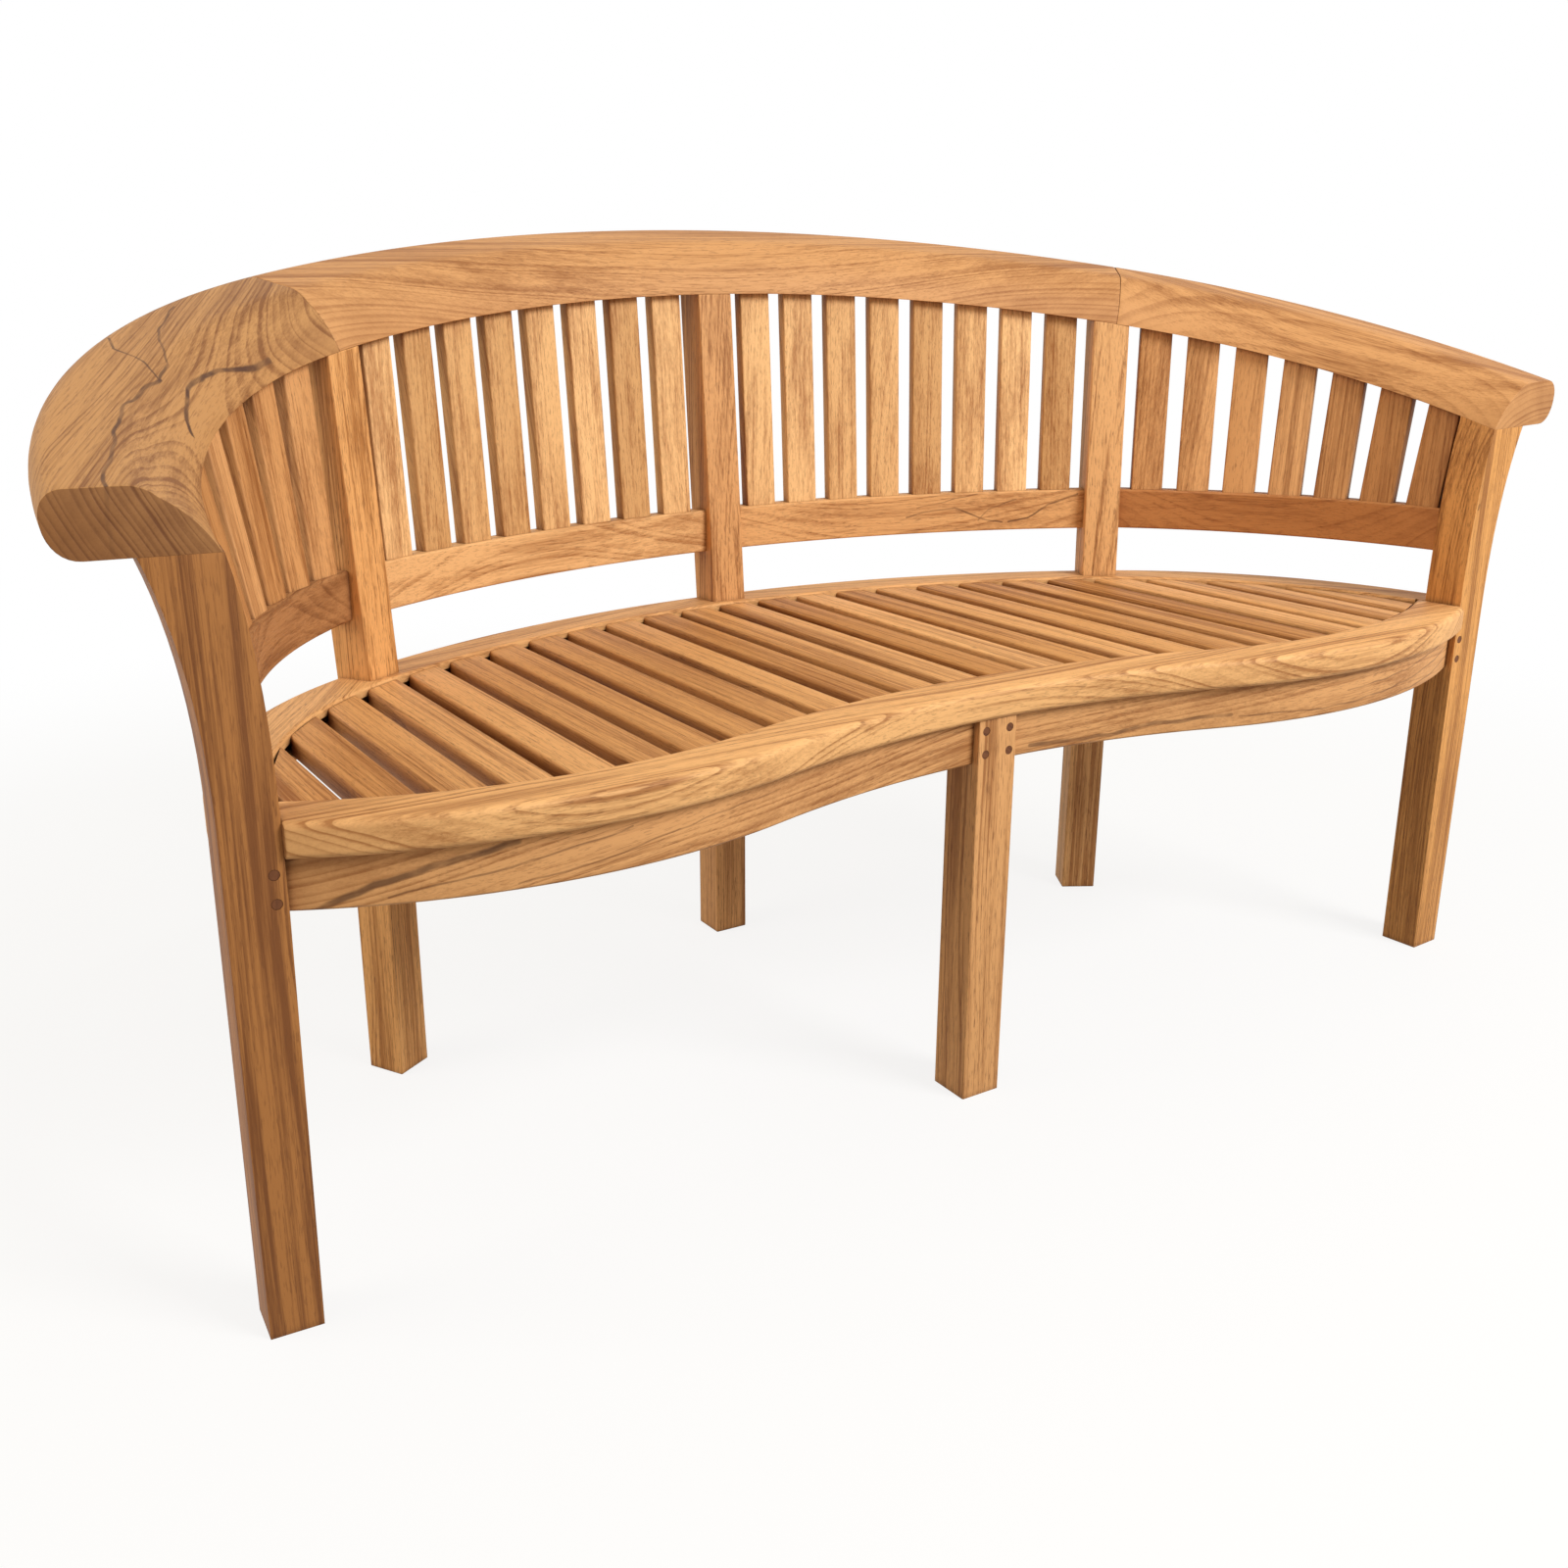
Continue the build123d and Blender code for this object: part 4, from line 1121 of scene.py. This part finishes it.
@dataclass
class BackSlats:
    """Upright slats of the back and arms."""

    width: float = 0.040
    thick: float = 0.016
    edge: float = 0.002
    setback: float = 0.012
    sink: float = 0.009
    lower_rail_base: float = 0.510
    lower_rail_height: float = 0.051
    lower_rail_thick: float = 0.025
    lower_rail_setback: float = 0.013
    arm_rail_radius: float = 0.6195
    arm_rail_back: float = 0.0125
    arm_rail_front_in: float = 0.0097
    arm_lead: float = 0.0181
    arm_gap: float = 0.0197
    grain_lean: float = 0.2
    back_count: int = 8
    arm_count: int = 7
    shift_low: Triple = (-1.0, 0.2, -0.3)
    shift_high: Triple = (1.0, 2.5, 0.3)
    seeds: dict = field(default_factory=lambda: {("back", Side.LEFT): 11, ("back", Side.RIGHT): 24,
                                                 ("arm", Side.LEFT): 5, ("arm", Side.RIGHT): 31})

    @property
    def axis(self) -> float:
        """How far out from the foot line of the back the lower rail runs.

        Returns:
            Distance of the lower rail's middle.
        """
        half = PLAN.leg / 2
        head = PLAN.reach(PLAN.back_half_angle)
        rise = PLAN.under_rail(PLAN.back_half_angle, head) - PLAN.seat_height
        middle = self.lower_rail_base + self.lower_rail_height / 2 - PLAN.seat_height
        face = (head + half) * middle / rise - half
        return face + self.lower_rail_setback + self.lower_rail_thick / 2

    def foot_out(self, angle: float) -> float:
        """Finds where a slat's foot stands, because the arm's lower rail is flatter than the foot line.

        Args:
            angle: Angle of the slat on the foot line.

        Returns:
            Distance out from the foot line.
        """
        first, last = PLAN.back_half_angle, PLAN.total_angle
        if angle <= first:
            return self.axis
        start = PLAN.foot(first) + outward(first) * self.arm_rail_back
        end = PLAN.foot(last) - outward(last) * self.arm_rail_front_in
        chord = end - start
        drop = math.sqrt(self.arm_rail_radius ** 2 - chord.length_squared / 4)
        centre = (start + end) / 2 + Vector((chord.y, -chord.x, 0)).normalized() * drop
        gap = centre - PLAN.arm.centre
        along = gap.dot(outward(angle))
        return along + math.sqrt(self.arm_rail_radius ** 2 - gap.length_squared + along ** 2) - PLAN.arm_radius

    def lines(self, bay: str, arc: Arc, side: Side) -> bpy.types.Mesh:
        """Draws the middle lines of the slats of one bay.

        Args:
            bay: Back or arm.
            arc: Foot line of the bay.
            side: Side that the bay is on.

        Returns:
            Mesh of one edge for each slat.
        """
        count = self.back_count if bay == "back" else self.arm_count
        radius = arc.radius + self.axis
        room = radius * math.radians(arc.last - arc.first) - PLAN.leg
        gap = (room - count * self.width) / (count + 1)
        lead, gap = (gap, gap) if bay == "back" else (self.arm_lead, self.arm_gap)
        first = PLAN.leg / 2 + lead + self.width / 2
        ends: list[Vector] = []
        for k in range(count):
            angle = arc.first + math.degrees((first + k * (gap + self.width)) / radius)
            foot, way = PLAN.foot(angle), outward(angle)
            head_out = PLAN.reach(angle) + self.setback + self.thick / 2
            low, high = foot + way * self.foot_out(angle), foot + way * head_out
            low.z = self.lower_rail_base + self.lower_rail_height
            high.z = PLAN.under_rail(angle, head_out)
            step = (high - low).normalized() * self.sink
            ends += [side.flip(low - step), side.flip(high + step)]
        return strands("slat_lines", ends)

    def tree(self) -> ShapeTree:
        """Builds the tree that gives each line a rounded slat with its own shift and tone.

        Returns:
            The tree.
        """
        tree = ShapeTree("back_slats")
        width, thick, edge = tree.size("Width"), tree.size("Thickness"), tree.size("Edge")
        seed, material = tree.size("Seed", "Int"), tree.size("Material", "Material")
        lines = tree.vary(tree.curves(), seed, self.shift_low, self.shift_high, "CURVE")
        lines = tree.nodes.add("GeometryNodeSetCurveNormal", {0: lines}, mode="Z_UP").outputs[0]
        tree.close(tree.sweep(lines, tree.outline(width, thick, edge)), material)
        return tree

    def build(self) -> None:
        """Builds the slats of the four bays."""
        tree = self.tree()
        for bay, arc in (("back", PLAN.back), ("arm", PLAN.arm)):
            half = (arc.first + arc.last) / 2
            for side in Side:
                way, seed = side.flip(outward(half)), self.seeds[bay, side]
                lie = Lie(side.flip(PLAN.foot(half)), UP + way * self.grain_lean, -way)
                finish = Teak(f"teak_back_slats_{bay}_{side.word}", lie, spacing=0.006, warp=0.012,
                              pith=(0, 0.05, -0.10), contrast=0.42, per_slat=True, painted_shade_reach=0.028,
                              seed=float(seed))
                if bay == "back":
                    finish = replace(finish, light=(0.88, 0.53, 0.235), dark=(0.45, 0.20, 0.068))
                piece = tree.grow(f"back_slats_{bay}_{side.word}_wood", self.lines(bay, arc, side), {
                    "Width": self.width, "Thickness": self.thick, "Edge": self.edge, "Seed": seed,
                    "Material": finish.material()})
                merge(piece.data)
                shade(piece.data)
                settle(piece, "back_slats", f"back_slats_{bay}_{side.word}")


@dataclass
class SeatSlats:
    """Slats across the seat, scribed to the front board and to the seat rails."""

    per_side: int = 12
    width: float = 0.042
    side_gap: float = 0.0114
    thick: float = 0.020
    drop: float = 0.003
    edge: float = 0.0035
    play: float = 0.0004
    lip: float = 0.010
    bulge_radius: float = 0.600
    board_width: float = 0.058
    grain_lead: float = 0.1
    steps: int = 13
    seed: int = 17
    shift_low: Triple = (-1.0, 0.1, -0.4)
    shift_high: Triple = (1.0, 2.5, 0.4)

    def tree(self) -> ShapeTree:
        """Builds the tree that lines up the slats and scribes both ends to the frame's curves.

        Returns:
            The tree.
        """
        tree = ShapeTree("seat_slats")
        n = tree.nodes
        size = {name: tree.size(name) for name in (
            "Width", "Gap", "Thickness", "Edge", "Middle Height", "Hollow Radius", "Hollow Centre", "Bulge Radius",
            "Bulge Place", "Bulge Centre", "Turn Place", "Back Radius", "Back Centre", "Arm Radius", "Arm Place",
            "Arm Centre", "Side Place")}
        count, seed, steps = (tree.size(name, "Int") for name in ("Count", "Seed", "Steps"))
        material = tree.size("Material", "Material")
        pitch = n.plus(size["Width"], size["Gap"])
        first = n.times(pitch, n.over(n.minus(count, 1.0), -2.0))
        row = n.add("GeometryNodeMeshLine", {"Count": count, "Start Location": n.join(first, 0.0, 0.0),
                                             "Offset": n.join(pitch, 0.0, 0.0)}).outputs[0]
        line = n.add("GeometryNodeCurvePrimitiveLine", {"Start": (0, 0, 0), "End": AHEAD}).outputs[0]
        line = n.add("GeometryNodeResampleCurve", {"Curve": line, "Count": steps}).outputs[0]
        bar = tree.sweep(line, tree.outline(size["Width"], size["Thickness"], size["Edge"]))
        bars = n.add("GeometryNodeInstanceOnPoints", {"Points": row, "Instance": bar}).outputs[0]
        bars = tree.vary(bars, seed, self.shift_low, self.shift_high, "INSTANCE")
        real = n.add("GeometryNodeRealizeInstances", {0: bars}).outputs[0]
        x, along, z = n.split(n.add("GeometryNodeInputPosition").outputs[0])
        aside = n.sum("ABSOLUTE", x)

        def chord(radius: Socket, gap: Socket) -> Socket:
            """Half chord of a circle at a distance from its middle."""
            square = n.minus(n.times(radius, radius), n.times(gap, gap))
            return n.sum("SQRT", n.sum("MAXIMUM", square, 0.0))

        def choose(limit: Socket, near: Socket, far: Socket) -> Socket:
            """One of two values, by whether the place is past a limit from the middle."""
            return n.add("ShaderNodeMix", {0: n.sum("GREATER_THAN", aside, limit), 2: near, 3: far}).outputs[0]

        hollow = n.plus(size["Hollow Centre"], chord(size["Hollow Radius"], x))
        past = n.minus(aside, size["Bulge Place"])
        front = choose(size["Turn Place"], hollow, n.minus(size["Bulge Centre"], chord(size["Bulge Radius"], past)))
        back = n.plus(size["Back Centre"], chord(size["Back Radius"], x))
        arm = n.plus(size["Arm Centre"], chord(size["Arm Radius"], n.minus(aside, size["Arm Place"])))
        rear = choose(size["Side Place"], back, arm)
        reach = n.plus(front, n.times(n.minus(rear, front), along))
        moved = n.add("GeometryNodeSetPosition", {"Geometry": real, "Position": n.join(
            x, reach, n.plus(z, size["Middle Height"]))}).outputs[0]
        tree.close(moved, material)
        return tree

    def sizes(self) -> dict[str, float]:
        """Values of the tree's inputs, worked out from the seat's curves.

        Returns:
            Value of each input.
        """
        inset, shift, arm = self.board_width + self.play, PLAN.back_shift, PLAN.arm
        bulge_place = PLAN.front_end.x - PLAN.bulge_gap
        bulge_y = self.bulge_radius - PLAN.front_reach - PLAN.bulge_lead + PLAN.hollow_lead
        depth = bulge_y + PLAN.front_reach
        hollow = (bulge_place ** 2 + depth ** 2 - self.bulge_radius ** 2) / (2 * (self.bulge_radius - depth))
        turn = math.atan2(bulge_place, depth + hollow)
        back_in = PLAN.leg / 2 + self.lip + self.play
        room = arm.centre.x + arm.radius - back_in
        gap = (room - self.side_gap - self.width / 2) / self.per_side - self.width
        return {"Width": self.width, "Gap": gap, "Thickness": self.thick, "Edge": self.edge,
                "Middle Height": PLAN.seat_height - self.drop - self.thick / 2,
                "Hollow Radius": hollow + inset, "Hollow Centre": shift - PLAN.front_reach - hollow,
                "Bulge Radius": self.bulge_radius - inset, "Bulge Place": bulge_place,
                "Bulge Centre": shift + bulge_y, "Turn Place": (hollow + inset) * math.sin(turn),
                "Back Radius": PLAN.back_radius - back_in, "Back Centre": PLAN.back.centre.y,
                "Arm Radius": arm.radius - back_in, "Arm Place": arm.centre.x, "Arm Centre": arm.centre.y,
                "Side Place": PLAN.back.at(PLAN.back_half_angle, -back_in).x}

    def build(self) -> None:
        """Builds the slats as one piece for the twenty-five nodes."""
        count = 2 * self.per_side + 1
        lie = Lie(Vector((0, -self.grain_lead, PLAN.seat_height)), AHEAD, UP)
        finish = Teak("teak_seat_slats", lie, spacing=0.007, warp=0.014, pith=(0, 0.03, -0.07), contrast=0.42,
                      per_slat=True, painted_shade_reach=0.03, light=(0.79, 0.42, 0.16))
        piece = self.tree().grow("seat_slats_wood", bpy.data.meshes.new("none"), {
            "Count": count, "Seed": self.seed, "Steps": self.steps, "Material": finish.material(), **self.sizes()})
        merge(piece.data)
        shade(piece.data)
        settle(piece, "seat_slats", *(f"seat_slat_{k:02d}" for k in range(1, count + 1)))


@dataclass
class Posts:
    """Back posts, front posts and the short front leg."""

    rounding: float = 0.0012
    flat: float = 0.5
    woods: dict = field(default_factory=lambda: {
        "front_left_post": ((0.43, 0.178, 0.048), (0.20, 0.068, 0.015)),
        "front_right_post": ((0.76, 0.365, 0.110), (0.37, 0.145, 0.034)),
        "back_left_post": ((0.82, 0.42, 0.150), (0.42, 0.170, 0.042)),
        "back_right_post": ((0.79, 0.435, 0.180), (0.40, 0.170, 0.053))})
    nick: Lines = ((0.0022, 0.9, ((0.7215, 0.565), (0.7225, 0.571))),)

    def build(self) -> None:
        """Builds the six uprights from the frame's own shapes."""
        places = {"back_centre_post": 0.0, "back_left_post": -PLAN.back_half_angle,
                  "back_right_post": PLAN.back_half_angle, "front_left_post": -PLAN.total_angle,
                  "front_right_post": PLAN.total_angle, "front_centre_leg": 0.0}
        for k, (node, angle) in enumerate(places.items()):
            light, dark = self.woods.get(node, (TEAK_LIGHT, TEAK_DARK))
            finish = Teak("teak_" + node, Lie.within(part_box(node), UP, outward(angle)), light, dark, seed=20.0 + k,
                          spacing=0.005, warp=0.014, pith=(0, 0.035, -0.06), contrast=0.7, figure=1.35,
                          strokes=Strokes(self.nick) if node == "front_right_post" else None)
            settle(rounded_copy(node, finish, self.rounding, self.flat), "posts", node)


@dataclass
class Boards:
    """Front board and its two aprons, with their arrises eased and mineral lines on the aprons."""

    board_ease: float = 0.0025
    apron_ease: float = 0.0012
    flat: float = 0.05
    slopes: dict = field(default_factory=lambda: {Side.LEFT: 0.11, Side.RIGHT: 0.04})
    streaks: dict = field(default_factory=lambda: {
        Side.LEFT: ((0.0045, 0.80, ((-0.700, 0.366), (-0.670, 0.382), (-0.650, 0.390), (-0.617, 0.397),
                                    (-0.582, 0.405), (-0.540, 0.414))),
                    (0.0013, 0.55, ((-0.640, 0.378), (-0.571, 0.388), (-0.512, 0.397), (-0.440, 0.409))),
                    (0.0011, 0.45, ((-0.540, 0.378), (-0.450, 0.388), (-0.360, 0.401), (-0.280, 0.405)))),
        Side.RIGHT: ((0.0030, 0.65, ((0.050, 0.380), (0.148, 0.377), (0.200, 0.383), (0.290, 0.387))),
                     (0.0013, 0.55, ((0.300, 0.384), (0.447, 0.380), (0.562, 0.386), (0.700, 0.402))),
                     (0.0012, 0.50, ((0.450, 0.394), (0.560, 0.400), (0.660, 0.412))),
                     (0.0012, 0.50, ((0.500, 0.374), (0.600, 0.377), (0.710, 0.388))))})

    def build(self) -> None:
        """Builds the three pieces from the frame's own shapes."""
        finish = Teak("teak_front_board", Lie.within(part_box("front_board"), ACROSS, UP), seed=40.0, spacing=0.0062,
                      warp=0.018, pith=(0, 0.12, -0.13), contrast=0.7, light=(0.86, 0.48, 0.195),
                      dark=(0.42, 0.18, 0.055))
        settle(rounded_copy("front_board", finish, self.board_ease, self.flat), "seat_frame", "front_board")
        for side in Side:
            node = f"front_apron_{side.word}"
            finish = Teak("teak_" + node, Lie.within(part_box(node), ACROSS + UP * self.slopes[side], -AHEAD),
                          seed=44.0 + side.value, spacing=0.0065, warp=0.014, pith=(0, 0.16, -0.03), contrast=0.65,
                          strokes=Strokes(self.streaks[side]))
            settle(rounded_copy(node, finish, self.apron_ease, self.flat), "seat_frame", node)


@dataclass
class Pegs:
    """Pegs through the apron tenons, darker than the wood round them."""

    radius: float = 0.0042
    steps: int = 24
    length: float = 0.030
    sunk: float = 0.0003
    inset: float = 0.009
    rise: float = 0.012
    waist_inner: float = 0.028
    front_leg: float = 0.048
    front_leg_setback: float = 0.005

    def lines(self) -> bpy.types.Mesh:
        """Draws the middle lines of the eight pegs.

        Returns:
            Mesh of one edge for each peg.
        """
        middle = PLAN.seat_height - PLAN.seat_frame_thick - PLAN.apron_height / 2
        back = outward(PLAN.total_angle - 90)
        post = PLAN.front_end + outward(PLAN.total_angle) * (self.inset - self.waist_inner) - back * PLAN.leg / 2
        leg = Vector((self.front_leg / 2 - self.inset, PLAN.back_shift - PLAN.front_reach + self.front_leg_setback,
                      0))
        ends: list[Vector] = []
        for rise in (-self.rise, self.rise):
            for side in Side:
                for start, way in ((post, back), (leg, AHEAD)):
                    start.z = middle + rise
                    ends += [side.flip(start + way * self.sunk), side.flip(start + way * self.length)]
        return strands("peg_lines", ends)

    def build(self) -> None:
        """Builds the pegs as one piece."""
        tree = ShapeTree("pegs")
        radius, steps = tree.size("Radius"), tree.size("Steps", "Int")
        material = tree.size("Material", "Material")
        ring = tree.nodes.add("GeometryNodeCurvePrimitiveCircle", {"Resolution": steps, "Radius": radius},
                              mode="RADIUS").outputs[0]
        tree.close(tree.sweep(tree.curves(), ring), material)
        finish = Teak("teak_pegs", Lie.within(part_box("apron_pegs"), AHEAD, UP), seed=60.0,
                      light=(0.32, 0.13, 0.045), dark=(0.16, 0.055, 0.018))
        piece = tree.grow("pegs_wood", self.lines(), {"Radius": self.radius, "Steps": self.steps,
                                                      "Material": finish.material()})
        merge(piece.data)
        shade(piece.data)
        settle(piece, "pegs", "apron_pegs")


@dataclass
class Frame:
    """Curved rails and bearers, which keep the CAD's own shapes."""

    rail_wood: tuple[Triple, Triple] = ((0.82, 0.45, 0.18), (0.42, 0.18, 0.055))
    woods: dict = field(default_factory=lambda: {
        "lower_rail_arm_right": ((0.52, 0.215, 0.065), (0.30, 0.100, 0.024)),
        "lower_rail_arm_left": ((0.46, 0.215, 0.080), (0.22, 0.080, 0.022)),
        "lower_rail_back_left": ((0.86, 0.50, 0.220), (0.44, 0.19, 0.060)),
        "lower_rail_back_right": ((0.79, 0.43, 0.175), (0.40, 0.165, 0.050))})
    mineral: Lines = (
        (0.0015, 0.70, ((0.264, 0.533), (0.297, 0.539), (0.325, 0.541), (0.358, 0.528), (0.389, 0.521))),
        (0.0011, 0.50, ((0.276, 0.543), (0.317, 0.551), (0.356, 0.558))),
        (0.0016, 0.75, ((0.396, 0.521), (0.420, 0.526), (0.445, 0.544), (0.478, 0.555))),
        (0.0012, 0.55, ((0.358, 0.524), (0.373, 0.538), (0.403, 0.551))))

    def lies(self) -> dict[str, tuple[Vector, Vector]]:
        """Finds how each node's board is laid.

        Returns:
            Way of the grain and way out of the wide face, by node.
        """
        ways: dict[str, tuple[Vector, Vector]] = {}
        for side in Side:
            for name, arc in (("back", PLAN.back), ("arm", PLAN.arm)):
                out = side.flip(outward((arc.first + arc.last) / 2))
                chord = side.flip(arc.at(arc.last) - arc.at(arc.first))
                ways[f"seat_rail_{name}_{side.word}"] = ways[f"lower_rail_{name}_{side.word}"] = (chord, out)
            ways[f"seat_bearer_{side.word}"] = (AHEAD, UP)
        ways["seat_bearer_centre"] = (AHEAD, UP)
        return ways

    def build(self, nodes: dict[str, bpy.types.Object]) -> None:
        """Gives each node its wood, and then every other node that shows.

        Args:
            nodes: The frame's nodes by name.
        """
        for k, (node, (along, up)) in enumerate(self.lies().items()):
            usual = self.rail_wood if node.startswith("seat_rail") else (TEAK_LIGHT, TEAK_DARK)
            light, dark = self.woods.get(node, usual)
            finish = Teak("teak_" + node, Lie.within(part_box(node), along, up), light, dark, seed=70.0 + k,
                          strokes=Strokes(self.mineral) if node == "lower_rail_back_right" else None)
            finish.cover(nodes[node])
        self.plain(nodes)

    def plain(self, nodes: dict[str, bpy.types.Object]) -> None:
        """Gives plain wood to every node that shows and has no wood yet.

        Args:
            nodes: The frame's nodes by name.
        """
        for node, obj in nodes.items():
            if not obj.hide_render and not any(m and m.name.startswith("teak_") for m in obj.data.materials):
                Teak("teak_" + node, Lie.within(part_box(node), AHEAD, UP), seed=2.0).cover(obj)


# Studio


@dataclass(frozen=True)
class Lamp:
    """Square area lamp.

    Args:
        name: Name of the lamp.
        place: Where it hangs.
        aim: Point it faces.
        size: Side of the square.
        power: Watts.
        colour: Colour of its light.
    """

    name: str
    place: Triple
    aim: Triple
    size: float
    power: float
    colour: Triple = WHITE

    def hang(self) -> None:
        """Adds the lamp to the scene."""
        data = bpy.data.lights.new(self.name, "AREA")
        data.size, data.energy, data.color = self.size, self.power, self.colour
        way = Vector(self.aim) - Vector(self.place)
        turn = way.to_track_quat("-Z", "Y").to_matrix().to_4x4()
        linked(self.name, data).matrix_world = Matrix.Translation(self.place) @ turn


@dataclass
class Studio:
    """Camera at the photograph's angle, pale floor and soft light."""

    eye: Triple = (-0.983489, -1.393623, 0.838837)
    yaw: float = 0.526
    pitch: float = 0.31
    roll: float = -0.012
    lens: float = 35.09
    sensor: float = 36.0
    shift: tuple[float, float] = (0.0530, -0.0125)
    sky: float = 0.54
    sky_colour: Triple = (1.0, 0.885, 0.69)
    floor_reach: float = 12.0
    floor_lit: float = 0.34
    floor_seen: float = 0.86
    floor_rough: float = 0.9
    glow_range: tuple[float, float] = (1.1, 2.4)
    glow_near: float = 0.84
    lamps: tuple[Lamp, ...] = (Lamp("key", (1.4, -3.0, 2.8), (0, 0, 0.5), 1.6, 125),
                               Lamp("side", (-3.4, 0.6, 2.0), (0, 0, 0.4), 2.0, 40, (1, 0.92, 0.80)))

    def camera(self) -> None:
        """Sets the camera up."""
        cy, sy, cp, sp = math.cos(self.yaw), math.sin(self.yaw), math.cos(self.pitch), math.sin(self.pitch)
        ahead, right = Vector((sy * cp, cy * cp, -sp)), Vector((cy, -sy, 0))
        up = right.cross(ahead)
        right, up = (right * math.cos(self.roll) + up * math.sin(self.roll),
                     up * math.cos(self.roll) - right * math.sin(self.roll))
        data = bpy.data.cameras.new("camera")
        data.lens, data.sensor_width, data.sensor_fit = self.lens, self.sensor, "HORIZONTAL"
        data.shift_x, data.shift_y = self.shift
        camera = linked("camera", data)
        camera.matrix_world = Matrix.Translation(self.eye) @ Matrix((right, up, -ahead)).transposed().to_4x4()
        bpy.context.scene.camera = camera

    @staticmethod
    def seen(n: Nodes) -> Socket:
        """1 where the camera sees it, straight or in gloss or glass, and 0 where it only gives light."""
        rays = n.add("ShaderNodeLightPath").outputs
        return n.plus(n.plus(rays["Is Camera Ray"], rays["Is Glossy Ray"]), rays["Is Transmission Ray"], clamp=True)

    def world(self) -> None:
        """Warm surroundings that look plain white to the camera."""
        world = bpy.data.worlds.new("studio")
        n = Nodes.inside(world)
        seen = self.seen(n)
        strength = n.remap(seen, 0.0, 1.0, self.sky, 1.0, smooth=False)
        air = n.add("ShaderNodeBackground", {"Color": n.mix(seen, self.sky_colour, WHITE), "Strength": strength})
        n.add("ShaderNodeOutputWorld", {"Surface": air.outputs[0]})
        bpy.context.scene.world = world

    def floor(self) -> None:
        """Pale floor that shows white to the camera and keeps a soft shadow."""
        reach = self.floor_reach
        mesh = bpy.data.meshes.new("floor")
        mesh.from_pydata([(-reach, -reach, 0), (reach, -reach, 0), (reach, reach, 0), (-reach, reach, 0)], [],
                         [(0, 1, 2, 3)])
        floor = linked("floor", mesh)
        made = bpy.data.materials.new("pale_floor")
        n = Nodes.inside(made)
        seen = self.seen(n)
        grey = n.remap(seen, 0.0, 1.0, self.floor_lit, self.floor_seen, smooth=False)
        matt = n.add("ShaderNodeBsdfPrincipled", {"Base Color": n.join(grey, grey, grey),
                                                  "Roughness": self.floor_rough})
        glow = n.add("ShaderNodeEmission", {"Color": (*WHITE, 1), "Strength": 1.0})
        away = n.vector("LENGTH", n.add("ShaderNodeTexCoord").outputs["Object"])
        share = n.times(seen, n.remap(away, *self.glow_range, self.glow_near))
        mixed = n.add("ShaderNodeMixShader", {0: share, 1: matt.outputs[0], 2: glow.outputs[0]})
        n.add("ShaderNodeOutputMaterial", {"Surface": mixed.outputs[0]})
        mesh.materials.append(made)

    def build(self) -> None:
        """Sets up the whole studio."""
        self.camera()
        self.world()
        self.floor()
        for lamp in self.lamps:
            lamp.hang()
        bpy.context.scene.view_settings.view_transform = "Standard"


def main() -> None:
    """Loads the frame, builds every piece in order and reports each."""
    logging.basicConfig(level=logging.INFO, format="%(name)s %(message)s")
    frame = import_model()
    for part in (Studio(), TopRail(), BackSlats(), SeatSlats(), Posts(), Boards(), Pegs()):
        part.build()
    Frame().build(frame["nodes"])


if __name__ == "__main__":
    main()
